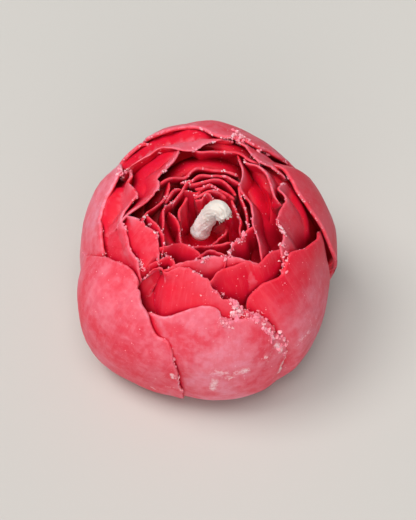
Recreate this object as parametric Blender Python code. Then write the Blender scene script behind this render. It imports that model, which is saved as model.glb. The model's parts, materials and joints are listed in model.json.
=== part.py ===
"""Cast wax candle in the shape of a half-open peony bloom, with its braided cotton wick.

It is about 67 mm across and 54 mm tall. The bloom is one casting: petals that wrap a globe and petals that stand in
whorls inside it, all fused to a core. The wick runs down through the casting and stands proud in its middle.

Sizes are in millimetres and angles in degrees, and Blender gets metres. The frame has +Z up, the candle stands on
z = 0, and -Y is its front. Longitude runs round the bloom from the front (0) towards +X (90). Latitude runs up the
globe, from the foot (-40) over the belly (0) and the crown (about 65) to the eye (90).
"""

import math

import bmesh
import bpy
import numpy as np

MM = 0.001

# The globe that the petals wrap, as (latitude, radius, height). The crown leans: at the back it rises by CROWN_LEAN
# and at the front it sinks by it, from one latitude on and in full from another.
GLOBE = [
    (-46, 22.4, -2.0),
    (-40, 25.0, 0.0),
    (-32, 28.4, 3.4),
    (-18, 31.8, 10.6),
    (0, 33.1, 20.0),
    (15, 32.6, 28.0),
    (30, 30.0, 36.0),
    (45, 25.6, 43.0),
    (56, 21.0, 47.6),
    (65, 16.6, 49.8),
    (73, 12.2, 49.2),
    (81, 7.4, 45.6),
    (90, 0.0, 39.0),
]
CROWN_LEAN = 3.4
LEAN_FROM_LATITUDE = -10
LEAN_FULL_LATITUDE = 50
FOOT_LATITUDE = -46
CROWN_LATITUDE = 62

# The bloom is lopsided: the globe's axis stands here, so that the middle of the whole candle is over the origin.
AXIS_X = 0.0
AXIS_Y = -0.7

# The core that carries the petals, as (radius, height), from the foot up its side to the floor of the eye.
CORE_SECTION = [
    (22.0, -1.0),
    (26.2, 4.0),
    (29.2, 11.0),
    (30.3, 20.0),
    (29.4, 27.5),
    (25.8, 33.0),
    (20.5, 37.0),
    (14.0, 39.5),
    (8.5, 38.5),
    (5.2, 35.0),
    (0.0, 34.0),
]
CORE_SIDES = 40

# Petal thickness: the rim, the root, and for a guard petal the share of its height over which its foot thins out.
RIM_THICKNESS = 0.9
GUARD_ROOT_THICKNESS = 4.2
GUARD_ROOT_SHARE = 0.45
INNER_ROOT_THICKNESS = 2.2

# How a guard petal's shape changes near its rim and foot: the latitudes over which its belly swells below the rim, the
# latitudes above the foot over which a dip under a neighbour grows from its share at the foot, the latitude at which a
# dip has shifted in full, and the latitudes over which the rim lifts.
SWELL_LATITUDES = 18
TUCK_FADE_LATITUDES = 40
TUCK_AT_FOOT = 0.35
TUCK_SHIFT_LATITUDE = 40
RISE_LATITUDES = (5, 40)

# Rows of a guard petal lie closer together near its rim: the power of their share of the height.
GUARD_ROW_POWER = 0.9

# An inner petal is narrower at its root by this share, and keeps this far inside the guard petals. That gap and the
# dips under its neighbours are full this far below its rim. A dip reaches from the petal's end over this share of its
# half width, and the rim drops at its corners by this power of the distance from the middle.
INNER_TAPER = 0.25
GUARD_GAP = 1.7
OPENS_OVER = 5
SIDE_TUCK_SHARE = 0.77
CORNER_POWER = 4

# Faces along and up each petal, points between two given points of a curve, and heights tried for the globe's radius.
GUARD_GRID = (15, 6)
INNER_GRID = (9, 3)
CURVE_STEPS = 20
SECTION_STEPS = 40

# Faces that meet at more than this angle are shaded with a hard line between them.
BLOOM_HARD_LINE = 40
WICK_HARD_LINE = 60

# Petals that wrap the globe down to its foot. edge is the free edge from the left foot over the tip to the right foot
# and root the longitudes of the foot's two ends. tuck is where the petal dips under a neighbour, as (depth, longitude
# where it is full, longitude where it starts, how far both have shifted higher up). swell, how far the belly stands
# out of the globe, and rise, how far the rim is lifted, are given at five places from left to right.
GUARD_PETALS = {
    "front_left": dict(
        edge=[(-108, -36), (-104, -8), (-97, 12), (-86, 21), (-77, 32), (-68, 41), (-56, 48), (-46, 48), (-39, 42),
              (-30, 34), (-25, 27), (-18, 25), (-15, 14), (-13, 0), (-12, -18), (-13, -37)],
        root=(-104, -16), tuck=[(1.6, -96, -76, 0)], swell=(-0.6, 0.0, 2.8, 0.9, 0.2),
        rise=(0, 0, 0, 0, 0)),
    "front": dict(
        edge=[(-40, -36), (-42, 0), (-42, 20), (-34, 34), (-22, 38), (-14, 43), (-4, 47), (4, 46), (10, 40),
              (17, 38), (25, 37), (32, 27), (36, 11), (34, -10), (32, -37)],
        root=(-38, 28), tuck=[(2.2, -14, 0, -22)], swell=(0.0, -0.3, -0.3, 0.2, 0.4), rise=(0, 0, 0, 0, 0)),
    "front_right": dict(
        edge=[(16, -36), (16, 10), (20, 36), (24, 46), (34, 50), (46, 48), (53, 50), (61, 51), (70, 46), (80, 40),
              (92, 32), (104, 8), (106, -37)],
        root=(18, 102), tuck=[(2.2, 34, 46, -10), (1.4, 92, 82, 0)], swell=(0.0, 0.5, -0.8, -1.9, -0.6),
        rise=(0, 0, 0, 0, 0)),
    "right": dict(
        edge=[(98, -37), (96, -14), (91, 5), (87, 20), (92, 36), (97, 46), (104, 52), (114, 53), (123, 55), (133, 58),
              (141, 52), (148, 30), (152, -5), (152, -36)],
        root=(98, 148), tuck=[(1.6, 140, 128, 0)], swell=(-0.4, 0.7, 1.5, 0.6, 0.0), rise=(0, 0.4, 1.0, 0.7, 0.2)),
    "back": dict(
        edge=[(130, -36), (128, 0), (129, 34), (134, 48), (144, 57), (154, 59), (164, 62), (176, 62), (186, 56),
              (196, 52), (208, 50), (215, 36), (219, 0), (218, -36)],
        root=(134, 214), tuck=[], swell=(0.0, 0.8, 1.6, 1.2, 0.8), rise=(0, 1.4, 1.8, 2.8, 4.2)),
    "back_left": dict(
        edge=[(196, -36), (194, 10), (199, 36), (207, 49), (216, 48), (224, 44), (234, 42), (243, 34), (250, 10),
              (252, -36)],
        root=(200, 248), tuck=[(1.6, 210, 218, 0), (1.6, 236, 228, 0)], swell=(0.8, 1.5, 1.5, 1.5, 1.2),
        rise=(2.0, 3.2, 3.2, 2.6, 1.2)),
    "left": dict(
        edge=[(228, -36), (227, 8), (231, 34), (237, 44), (244, 46), (250, 46), (259, 43), (268, 41), (278, 42),
              (288, 38), (296, 20), (298, -36)],
        root=(232, 294), tuck=[(1.8, 284, 274, 10)], swell=(0.8, 1.1, -0.1, -1.0, -1.6),
        rise=(2.0, 1.6, 0.4, 0, 0)),
}

# Petals that stand inside the guard petals. edge is the rim from left to right, lean the angle from the vertical at
# the rim and at the root, length the height of the petal along its arc, corner how far the rim drops at its ends, and
# tuck how deep each end lies inside its neighbour.
INNER_PETALS = {
    "second_left": dict(
        edge=[(-126, 50), (-117, 56), (-111, 56), (-104, 60), (-97, 63), (-91, 60), (-86, 56), (-80, 54), (-72, 55),
              (-58, 54), (-50, 54), (-41, 51)],
        lean=(36, 16), length=17, corner=2.5, tuck=(0.5, 0.0)),
    "second_back_left": dict(
        edge=[(-116, 46), (-126, 52), (-134, 57), (-143, 58), (-150, 65), (-158, 69), (-168, 70), (-182, 67),
              (-194, 65), (-202, 62)],
        lean=(82, -10), length=15, corner=2.0, tuck=(0.5, 0.5)),
    "second_back_right": dict(
        edge=[(158, 61), (148, 63), (139, 65), (130, 65), (121, 61), (113, 57)],
        lean=(68, 0), length=13, corner=1.5, tuck=(0.0, 0.5)),
    "second_right": dict(
        edge=[(112, 58), (104, 63), (97, 60), (91, 60), (83, 62), (73, 62), (68, 58), (60, 56), (52, 52), (44, 46)],
        lean=(32, 16), length=16, corner=2.0, tuck=(0.5, 1.0)),
    "second_front": dict(
        edge=[(-52, 46), (-43, 55), (-36, 58), (-30, 57), (-19, 62), (-8, 60), (0, 58), (4, 54), (11, 49), (17, 46),
              (24, 40), (28, 34)],
        lean=(50, 18), length=17, corner=2.0, tuck=(6.5, 0.0), gap=1.3),
    "second_front_right": dict(
        edge=[(-6, 52), (2, 58), (10, 62), (22, 62), (31, 62), (36, 58), (43, 58), (54, 58), (64, 53)],
        lean=(36, 6), length=15, corner=2.0, tuck=(3.0, 1.0)),
    "third_left_back": dict(
        edge=[(-156, 67), (-148, 70), (-133, 71), (-120, 70), (-108, 72), (-96, 70), (-87, 66), (-82, 58), (-78, 52)],
        lean=(66, 2), length=14, corner=1.5, tuck=(0.5, 0.5)),
    "third_back": dict(
        edge=[(-162, 68), (-170, 71), (-184, 71), (-198, 70), (-210, 68), (-222, 68), (-232, 66)],
        lean=(44, 0), length=12, corner=1.5, tuck=(1.0, 0.0)),
    "third_right": dict(
        edge=[(146, 68), (139, 70), (127, 67), (119, 66), (109, 66), (98, 66), (90, 62), (80, 56)],
        lean=(40, 0), length=13, corner=1.5, tuck=(0.0, 0.5)),
    "third_left": dict(
        edge=[(-86, 57), (-74, 64), (-65, 66), (-56, 68), (-46, 65), (-38, 60), (-33, 54)],
        lean=(66, 4), length=14, corner=2.0, tuck=(1.0, 4.5)),
    "third_left_inner": dict(
        edge=[(-80, 67), (-70, 69), (-62, 70), (-52, 70), (-43, 67), (-38, 63)],
        lean=(30, 0), length=11, corner=1.0, tuck=(0.5, 0.5)),
    "third_front_left": dict(
        edge=[(-44, 57), (-38, 60), (-33, 64), (-27, 62), (-20, 58)],
        lean=(22, 0), length=11, corner=1.5, tuck=(0.5, 0.5)),
    "third_front": dict(
        edge=[(-34, 59), (-24, 63), (-14, 66), (0, 69), (14, 68), (25, 66), (34, 62), (42, 58)],
        lean=(44, 6), length=12, corner=1.5, tuck=(1.0, 0.5)),
    "fourth_right": dict(
        edge=[(152, 69), (145, 71), (132, 74), (123, 78), (109, 78), (94, 76), (78, 75), (61, 72), (46, 64), (40, 60)],
        lean=(36, 0), length=12, corner=1.0, tuck=(0.5, 0.5)),
    "fourth_back": dict(
        edge=[(-112, 72), (-124, 74), (-142, 78), (-163, 77), (-186, 78), (-207, 77), (-224, 76)],
        lean=(34, 0), length=11, corner=1.0, tuck=(0.5, 0.5)),
    "fourth_left": dict(
        edge=[(-70, 64), (-78, 67), (-84, 71), (-92, 74), (-103, 76), (-114, 76), (-124, 75)],
        lean=(34, 0), length=11, corner=1.0, tuck=(0.5, 0.5)),
    "fourth_left_inner": dict(
        edge=[(-58, 72), (-70, 74), (-84, 75), (-94, 77), (-106, 79)],
        lean=(26, 0), length=10, corner=1.0, tuck=(0.5, 0.5)),
    "fourth_front_left": dict(
        edge=[(-50, 62), (-41, 67), (-33, 73), (-20, 74), (-10, 72), (-2, 68)],
        lean=(38, 0), length=11, corner=1.0, tuck=(0.5, 0.5)),
    "fourth_front": dict(
        edge=[(-12, 69), (-6, 71), (3, 74), (13, 71), (20, 68)],
        lean=(30, 0), length=10, corner=1.0, tuck=(0.5, 0.5)),
    "fourth_front_right": dict(
        edge=[(12, 64), (18, 68), (30, 73), (44, 73), (55, 74), (66, 72)],
        lean=(32, 0), length=11, corner=1.0, tuck=(0.5, 0.5)),
    "fifth_back": dict(
        edge=[(-142, 80), (-158, 81), (-178, 81), (-202, 80), (-222, 80), (-240, 80)],
        lean=(24, 0), length=10, corner=1.0, tuck=(0.3, 0.3)),
    "fifth_back_left": dict(
        edge=[(-96, 76), (-108, 77), (-120, 78), (-134, 81), (-148, 83), (-164, 83)],
        lean=(22, 0), length=10, corner=1.0, tuck=(0.3, 0.3)),
    "fifth_front_left": dict(
        edge=[(-88, 78), (-74, 80), (-58, 80), (-44, 77), (-32, 74)],
        lean=(26, 0), length=10, corner=1.0, tuck=(0.3, 0.3)),
    "fifth_front": dict(
        edge=[(-24, 76), (-10, 78), (6, 79), (22, 78), (36, 77)],
        lean=(20, 0), length=10, corner=1.0, tuck=(0.3, 0.3)),
    "fifth_right": dict(
        edge=[(122, 82), (104, 82), (86, 81), (70, 79), (58, 78), (48, 76)],
        lean=(22, 0), length=10, corner=1.0, tuck=(0.3, 0.3)),
    "heart_back": dict(
        edge=[(138, 84), (160, 85), (182, 84), (204, 85), (222, 84)],
        lean=(12, 0), length=8, corner=1.0, tuck=(0.0, 0.0)),
    "heart_left": dict(
        edge=[(-128, 82), (-110, 82), (-92, 81), (-76, 81)],
        lean=(12, 0), length=8, corner=1.0, tuck=(0.0, 0.0)),
    "heart_front": dict(
        edge=[(8, 82), (28, 83), (50, 83), (68, 84)],
        lean=(12, 0), length=8, corner=1.0, tuck=(0.0, 0.0)),
}

# The wick's path as (x, y, z) from the globe's axis: out of the eye and bent over at its tip. Below the first point it
# runs straight down its channel.
WICK_PATH = [(-1.9, 0.1, 36.5), (-1.7, 0.1, 38.5), (-0.7, 0.0, 41.5), (0.4, -0.2, 44.5), (1.5, -0.5, 47.0),
             (2.9, -1.1, 48.0), (3.9, -1.9, 46.4)]
WICK_FOOT = 0.3
WICK_RADIUS = 2.1
WICK_END_DOME = 0.35
WICK_STRANDS = 3
WICK_STRAND_RELIEF = 0.16
WICK_TWIST = 42
WICK_SIDES = 15
WICK_RING_STEP = 0.8
CHANNEL_GAP = 0.3
CHANNEL_TOP = 40
CHANNEL_SIDES = 24

WAX_COLOUR = (0.75, 0.06, 0.11)
WAX_ROUGHNESS = 0.42
COTTON_COLOUR = (0.80, 0.74, 0.66)
COTTON_ROUGHNESS = 0.85


def between(table, x):
    """A smooth curve through rows of (x, values...), read at x, with the values in the last axis."""
    rows = np.array(table, float)
    known, values = rows[:, 0], rows[:, 1:]
    x = np.clip(np.asarray(x, float), known[0], known[-1])
    i = np.clip(np.searchsorted(known, x) - 1, 0, len(known) - 2)
    before = np.maximum(i - 1, 0)
    after = np.minimum(i + 2, len(known) - 1)
    step = (known[i + 1] - known[i])[..., None]
    t = (x - known[i])[..., None] / step
    slope_0 = (values[i + 1] - values[before]) / (known[i + 1] - known[before])[..., None] * step
    slope_1 = (values[after] - values[i]) / (known[after] - known[i])[..., None] * step
    return (
        (2 * t**3 - 3 * t**2 + 1) * values[i]
        + (t**3 - 2 * t**2 + t) * slope_0
        + (3 * t**2 - 2 * t**3) * values[i + 1]
        + (t**3 - t**2) * slope_1
    )


def smooth_step(x):
    """0 below 0, 1 above 1, and a smooth rise between."""
    x = np.clip(x, 0.0, 1.0)
    return x * x * (3 - 2 * x)


def globe_section(longitude, latitude):
    """Radius and height of the globe."""
    section = between(GLOBE, latitude)
    rise = np.clip((latitude - LEAN_FROM_LATITUDE) / (LEAN_FULL_LATITUDE - LEAN_FROM_LATITUDE), 0, 1)
    return section[..., 0], section[..., 1] - CROWN_LEAN * np.cos(np.radians(longitude)) * rise


def around(longitude, radius, height):
    """Points at a longitude, a radius from the candle's axis and a height."""
    angle = np.radians(longitude)
    return np.stack([radius * np.sin(angle), -radius * np.cos(angle), height], axis=-1)


def globe(longitude, latitude):
    return around(longitude, *globe_section(longitude, latitude))


def globe_normal(longitude, latitude):
    """The globe's outward normal, from two short steps on it."""
    step = 0.5
    east = globe(longitude + step, latitude) - globe(longitude - step, latitude)
    north = globe(longitude, latitude + step) - globe(longitude, latitude - step)
    normal = np.cross(east, north)
    return normal / np.linalg.norm(normal, axis=-1, keepdims=True)


def inside_the_guards(longitude, radius, height, gap):
    """The radius, held back by the gap where a petal would come out through the petals that wrap the globe."""
    latitudes = np.linspace(FOOT_LATITUDE, CROWN_LATITUDE, SECTION_STEPS)
    held = np.empty_like(radius)
    for k in range(len(radius)):
        section = globe_section(longitude[k, -1], latitudes)
        over = radius[k] - np.interp(height[k], section[1], section[0]) + gap[k]
        held[k] = radius[k] - np.where(over < 1, np.maximum(over + 1, 0) ** 2 / 4, over)
    return held


def walk_along(points):
    """The length walked to each point of a line of points."""
    return np.concatenate([[0], np.cumsum(np.linalg.norm(np.diff(points, axis=0), axis=1))])


def edge_path(edge, count):
    """count + 1 points (longitude, latitude) evenly spaced along a smooth curve through the edge's points."""
    index = np.arange(len(edge))
    dense = between(np.column_stack([index, edge]), np.linspace(0, len(edge) - 1, CURVE_STEPS * len(edge)))
    walked = walk_along(globe(dense[:, 0], dense[:, 1]))
    stops = np.linspace(0, walked[-1], count + 1)
    return np.stack([np.interp(stops, walked, dense[:, k]) for k in (0, 1)], axis=-1)


def guard_petal(columns, rows, edge, root, tuck, swell, rise):
    """Outer and inner face of a petal that wraps the globe, as grids of points."""
    rim = edge_path(edge, columns)
    across = np.linspace(0, 1, columns + 1)[:, None]
    up = np.linspace(0, 1, rows + 1)[None, :] ** GUARD_ROW_POWER
    foot = root[0] + (root[1] - root[0]) * across
    longitude = foot + (rim[:, :1] - foot) * up
    latitude = FOOT_LATITUDE + (rim[:, 1:] - FOOT_LATITUDE) * up
    span = (longitude - rim[:, 0].min()) / (rim[:, 0].max() - rim[:, 0].min())
    places = np.linspace(0, 1, len(swell))
    depth = np.zeros_like(latitude)
    for deep, full, start, shift in tuck:
        moved = longitude - shift * np.maximum(latitude, 0) / TUCK_SHIFT_LATITUDE
        depth += deep * smooth_step((moved - start) / (full - start))
    depth *= TUCK_AT_FOOT + (1 - TUCK_AT_FOOT) * smooth_step((latitude - FOOT_LATITUDE) / TUCK_FADE_LATITUDES)
    bulge = between(np.column_stack([places, swell]), span)[..., 0]
    bulge *= smooth_step((rim[:, 1:] - latitude) / SWELL_LATITUDES)
    lift = between(np.column_stack([places, rise]), span)[..., 0]
    lift *= smooth_step((latitude - RISE_LATITUDES[0]) / (RISE_LATITUDES[1] - RISE_LATITUDES[0]))
    normal = globe_normal(longitude, latitude)
    outer = globe(longitude, latitude) + normal * (bulge - depth)[..., None]
    outer[..., 2] += lift
    thickness = RIM_THICKNESS + (GUARD_ROOT_THICKNESS - RIM_THICKNESS) * smooth_step((1 - up) / GUARD_ROOT_SHARE)
    return outer, outer - normal * (thickness * np.ones_like(longitude))[..., None]


def inner_petal(columns, rows, edge, lean, length, corner, tuck, gap=GUARD_GAP):
    """Outer and inner face of a petal that stands inside the bloom: from its rim it falls along an arc to its root."""
    rim = edge_path(edge, columns)
    across = np.linspace(-1, 1, columns + 1)[:, None]
    radius, height = globe_section(rim[:, :1], rim[:, 1:])
    start = corner * np.abs(across) ** CORNER_POWER
    walked = start + (length - start) * np.linspace(1, 0, rows + 1)[None, :]
    rim_lean = math.radians(lean[0])
    bend = math.radians(lean[1] - lean[0]) / length
    tilt = rim_lean + bend * walked
    radius = radius + (math.cos(rim_lean) - np.cos(tilt)) / bend
    height = height - (np.sin(tilt) - math.sin(rim_lean)) / bend
    opened = smooth_step(walked / OPENS_OVER)
    middle = (rim[0, 0] + rim[-1, 0]) / 2
    longitude = middle + (rim[:, :1] - middle) * (1 - INNER_TAPER * walked / length)
    radius = inside_the_guards(longitude, radius, height, gap * opened)
    dip = tuck[0] * smooth_step((-across - 1) / SIDE_TUCK_SHARE + 1)
    dip += tuck[1] * smooth_step((across - 1) / SIDE_TUCK_SHARE + 1)
    radius = radius - dip * opened
    thickness = RIM_THICKNESS + (INNER_ROOT_THICKNESS - RIM_THICKNESS) * walked / length
    outer = around(longitude, radius, height)
    inner = around(longitude, radius - thickness * np.cos(tilt), height - thickness * np.sin(tilt))
    return outer, inner


def sheet_mesh(name, outer, inner):
    """A closed mesh between two grids of points, split into triangles alike on both faces."""
    columns, rows = outer.shape[0], outer.shape[1]
    half = columns * rows

    def number(face, i, j):
        return face * half + i * rows + j

    triangles = []
    for i in range(columns - 1):
        for j in range(rows - 1):
            for face in (0, 1):
                a, b = number(face, i, j), number(face, i + 1, j)
                c, d = number(face, i + 1, j + 1), number(face, i, j + 1)
                triangles += [(a, b, c), (a, c, d)] if face == 0 else [(a, c, b), (a, d, c)]
    border = [(i, 0) for i in range(columns - 1)] + [(columns - 1, j) for j in range(rows - 1)]
    border += [(i, rows - 1) for i in range(columns - 1, 0, -1)] + [(0, j) for j in range(rows - 1, 0, -1)]
    for here, there in zip(border, border[1:] + border[:1]):
        a, b = number(0, *here), number(0, *there)
        c, d = number(1, *there), number(1, *here)
        triangles += [(b, a, d), (b, d, c)]
    mesh = bpy.data.meshes.new(f"{name} sheet")
    points = np.concatenate([outer.reshape(-1, 3), inner.reshape(-1, 3)]) * MM
    mesh.from_pydata(points.tolist(), [], triangles)
    shape = bmesh.new()
    shape.from_mesh(mesh)
    return finished(shape, name)


def finished(shape, name):
    """A mesh from a closed shape, with its faces turned outwards."""
    bmesh.ops.recalc_face_normals(shape, faces=shape.faces)
    mesh = bpy.data.meshes.new(name)
    shape.to_mesh(mesh)
    shape.free()
    return mesh


def add_object(name, mesh, collection):
    added = bpy.data.objects.new(name, mesh)
    collection.objects.link(added)
    return added


def lathe_mesh(name, section, sides):
    """A solid turned about the axis from (radius, height) rows whose last row lies on the axis."""
    shape = bmesh.new()
    rings = []
    for radius, height in section[:-1]:
        longitudes = np.arange(sides) * 360 / sides
        ring = around(longitudes, np.full(sides, radius), np.full(sides, height)) * MM
        rings.append([shape.verts.new(point) for point in ring])
    for low, high in zip(rings, rings[1:]):
        for k in range(sides):
            shape.faces.new((low[k - 1], low[k], high[k], high[k - 1]))
    top = shape.verts.new((0, 0, section[-1][1] * MM))
    for k in range(sides):
        shape.faces.new((rings[-1][k - 1], rings[-1][k], top))
    shape.faces.new(list(reversed(rings[0])))
    return finished(shape, name)


def apply_modifiers(subject):
    """Bakes the subject's modifiers into its mesh."""
    graph = bpy.context.evaluated_depsgraph_get()
    mesh = bpy.data.meshes.new_from_object(subject.evaluated_get(graph))
    subject.modifiers.clear()
    subject.data = mesh


def keep_largest_body(subject):
    """Drops the sealed hollows and loose scraps that fusing leaves, all but the body with the most faces."""
    shape = bmesh.new()
    shape.from_mesh(subject.data)
    bodies = []
    left = set(shape.faces)
    while left:
        body = []
        waiting = [left.pop()]
        while waiting:
            face = waiting.pop()
            body.append(face)
            for neighbour in {other for edge in face.edges for other in edge.link_faces} & left:
                left.remove(neighbour)
                waiting.append(neighbour)
        bodies.append(body)
    largest = max(bodies, key=len)
    drop = [face for body in bodies if body is not largest for face in body]
    bmesh.ops.delete(shape, geom=drop, context="FACES")
    shape.to_mesh(subject.data)
    shape.free()


def boolean(subject, operation, operand):
    """Joins a collection to the subject, or cuts an object out of it."""
    step = subject.modifiers.new(operation.lower(), "BOOLEAN")
    step.operation = operation
    step.solver = "MANIFOLD"
    if isinstance(operand, bpy.types.Collection):
        step.operand_type = "COLLECTION"
        step.collection = operand
    else:
        step.object = operand
    apply_modifiers(subject)


def swept_mesh(name, centres, radii):
    """A tube with capped ends along centres, with one radius for each ring and side."""
    shape = bmesh.new()
    rings = []
    ahead = np.gradient(centres, axis=0)
    ahead /= np.linalg.norm(ahead, axis=1, keepdims=True)
    sides = radii.shape[1]
    across = np.array([1.0, 0.0, 0.0])
    for centre, forward, row in zip(centres, ahead, radii):
        across = across - forward * across.dot(forward)
        across /= np.linalg.norm(across)
        up = np.cross(forward, across)
        ring = []
        for k in range(sides):
            angle = 2 * math.pi * k / sides
            spoke = across * math.cos(angle) + up * math.sin(angle)
            ring.append(shape.verts.new((centre + spoke * row[k]) * MM))
        rings.append(ring)
    for low, high in zip(rings, rings[1:]):
        for k in range(sides):
            shape.faces.new((low[k - 1], low[k], high[k], high[k - 1]))
    for ring, forward, centre in ((rings[0], -ahead[0], centres[0]), (rings[-1], ahead[-1], centres[-1])):
        middle = shape.verts.new((centre + forward * WICK_END_DOME) * MM)
        for k in range(sides):
            shape.faces.new((ring[k - 1], ring[k], middle))
    return finished(shape, name)


def wick_centres():
    """The wick's axis, foot first: one ring at the foot of the straight length, then even steps along the bend."""
    bend = np.array(WICK_PATH, float)
    index = np.arange(len(bend))
    dense = between(np.column_stack([index, bend]), np.linspace(0, len(bend) - 1, CURVE_STEPS * len(bend)))
    walked = walk_along(dense)
    stops = np.linspace(0, walked[-1], round(walked[-1] / WICK_RING_STEP) + 1)
    free = np.stack([np.interp(stops, walked, dense[:, k]) for k in range(3)], axis=-1)
    foot = np.array([bend[0, 0], bend[0, 1], WICK_FOOT + WICK_END_DOME])
    return np.vstack([foot, free])


def smooth(subject, degrees):
    """Shades the subject smooth, with hard lines where faces meet at more than the angle."""
    for face in subject.data.polygons:
        face.use_smooth = True
    subject.data.set_sharp_from_angle(angle=math.radians(degrees))


def material(name, colour, roughness):
    made = bpy.data.materials.new(name)
    made.use_nodes = True
    shader = made.node_tree.nodes["Principled BSDF"]
    shader.inputs["Base Color"].default_value = (*colour, 1.0)
    shader.inputs["Roughness"].default_value = roughness
    shader.inputs["Metallic"].default_value = 0.0
    return made


def make_bloom():
    """The casting: petals fused to the core, with the wick's channel through it and a flat base."""
    scene_collection = bpy.context.scene.collection
    petals = bpy.data.collections.new("petals")
    scene_collection.children.link(petals)
    for name, petal in GUARD_PETALS.items():
        add_object(name, sheet_mesh(name, *guard_petal(*GUARD_GRID, **petal)), petals)
    for name, petal in INNER_PETALS.items():
        add_object(name, sheet_mesh(name, *inner_petal(*INNER_GRID, **petal)), petals)
    bloom = add_object("wax_bloom", lathe_mesh("core", CORE_SECTION, CORE_SIDES), scene_collection)
    boolean(bloom, "UNION", petals)
    for petal in list(petals.objects):
        bpy.data.objects.remove(petal)
    bpy.data.collections.remove(petals)

    lowest = CORE_SECTION[0][1] + GLOBE[0][2] - CHANNEL_GAP - GUARD_ROOT_THICKNESS
    bore = WICK_RADIUS + CHANNEL_GAP
    channel_section = [(bore, lowest), (bore, CHANNEL_TOP), (0, CHANNEL_TOP)]
    channel = add_object("wick channel", lathe_mesh("channel", channel_section, CHANNEL_SIDES), scene_collection)
    channel.location = (WICK_PATH[0][0] * MM, WICK_PATH[0][1] * MM, 0)
    widest = 2 * max(radius for _, radius, _ in GLOBE)
    ground_section = [(widest, lowest), (widest, 0), (0, 0)]
    ground = add_object("ground", lathe_mesh("ground", ground_section, CHANNEL_SIDES), scene_collection)
    bpy.context.view_layer.update()
    for cutter in (channel, ground):
        boolean(bloom, "DIFFERENCE", cutter)
        bpy.data.objects.remove(cutter)
    keep_largest_body(bloom)
    bloom.data.materials.clear()
    bloom.data.materials.append(material("wax", WAX_COLOUR, WAX_ROUGHNESS))
    smooth(bloom, BLOOM_HARD_LINE)
    return bloom


def make_wick():
    """A round cord with three strands laid round it where it shows."""
    centres = wick_centres()
    turn = np.radians(WICK_TWIST) * np.arange(len(centres))[:, None]
    angle = 2 * math.pi * np.arange(WICK_SIDES)[None, :] / WICK_SIDES
    relief = WICK_STRAND_RELIEF * (1 - np.cos(WICK_STRANDS * angle - turn)) / 2
    relief[:2] = 0
    wick = add_object("wick", swept_mesh("wick", centres, WICK_RADIUS - relief), bpy.context.scene.collection)
    wick.data.materials.append(material("cotton", COTTON_COLOUR, COTTON_ROUGHNESS))
    smooth(wick, WICK_HARD_LINE)
    return wick


def main():
    for old in list(bpy.data.objects):
        bpy.data.objects.remove(old)
    for piece in (make_bloom(), make_wick()):
        piece.location = (AXIS_X * MM, AXIS_Y * MM, 0)


main()
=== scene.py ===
import json
import math

import bmesh
import bpy
import numpy as np
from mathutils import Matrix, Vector
from mathutils.bvhtree import BVHTree
from mathutils.kdtree import KDTree

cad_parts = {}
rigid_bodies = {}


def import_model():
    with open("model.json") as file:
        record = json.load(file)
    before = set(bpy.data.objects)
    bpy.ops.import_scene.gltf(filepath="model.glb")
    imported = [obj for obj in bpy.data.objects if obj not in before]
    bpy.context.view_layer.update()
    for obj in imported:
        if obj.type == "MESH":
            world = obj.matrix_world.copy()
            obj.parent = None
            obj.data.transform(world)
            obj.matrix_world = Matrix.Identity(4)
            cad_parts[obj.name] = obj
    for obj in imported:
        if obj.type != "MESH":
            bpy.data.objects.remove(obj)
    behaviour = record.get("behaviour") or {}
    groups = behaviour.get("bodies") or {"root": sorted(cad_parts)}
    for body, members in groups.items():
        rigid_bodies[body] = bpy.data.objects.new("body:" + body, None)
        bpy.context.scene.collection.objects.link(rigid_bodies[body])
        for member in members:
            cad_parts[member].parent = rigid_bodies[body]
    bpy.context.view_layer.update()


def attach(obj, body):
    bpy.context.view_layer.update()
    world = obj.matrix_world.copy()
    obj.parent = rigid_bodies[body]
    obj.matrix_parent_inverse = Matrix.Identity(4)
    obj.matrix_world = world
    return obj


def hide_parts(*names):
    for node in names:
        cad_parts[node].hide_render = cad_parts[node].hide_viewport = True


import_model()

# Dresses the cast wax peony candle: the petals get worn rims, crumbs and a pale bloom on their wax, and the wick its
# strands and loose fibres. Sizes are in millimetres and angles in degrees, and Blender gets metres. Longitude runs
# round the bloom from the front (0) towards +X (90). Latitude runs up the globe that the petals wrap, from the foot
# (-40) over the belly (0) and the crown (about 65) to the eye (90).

MM = 0.001

# The globe that the petals wrap, as (latitude, radius, height). The crown leans: at the back it rises by CROWN_LEAN
# and at the front it sinks by it, from one latitude on and in full from another.
GLOBE = [(-46, 22.4, -2.0), (-40, 25.0, 0.0), (-32, 28.4, 3.4), (-18, 31.8, 10.6), (0, 33.1, 20.0), (15, 32.6, 28.0),
         (30, 30.0, 36.0), (45, 25.6, 43.0), (56, 21.0, 47.6), (65, 16.6, 49.8), (73, 12.2, 49.2), (81, 7.4, 45.6),
         (90, 0.0, 39.0)]
CROWN_LEAN = 3.4
LEAN_FROM_LATITUDE = -10
LEAN_FULL_LATITUDE = 50
FOOT_LATITUDE = -46
CROWN_LATITUDE = 62

# The bloom is lopsided: the globe's axis stands here, so that the middle of the whole candle is over the origin.
AXIS_X = 0.0
AXIS_Y = -0.7

# The core that carries the petals, as (radius, height), from the foot up its side to the floor of the eye.
CORE_SECTION = [(22.0, -1.0), (26.2, 4.0), (29.2, 11.0), (30.3, 20.0), (29.4, 27.5), (25.8, 33.0), (20.5, 37.0),
                (14.0, 39.5), (8.5, 38.5), (5.2, 35.0), (0.0, 34.0)]

# Petal thickness: the rim, the root, and for a guard petal the share of its height over which its foot thins out.
RIM_THICKNESS = 0.9
GUARD_ROOT_THICKNESS = 4.2
GUARD_ROOT_SHARE = 0.45
INNER_ROOT_THICKNESS = 2.2

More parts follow.
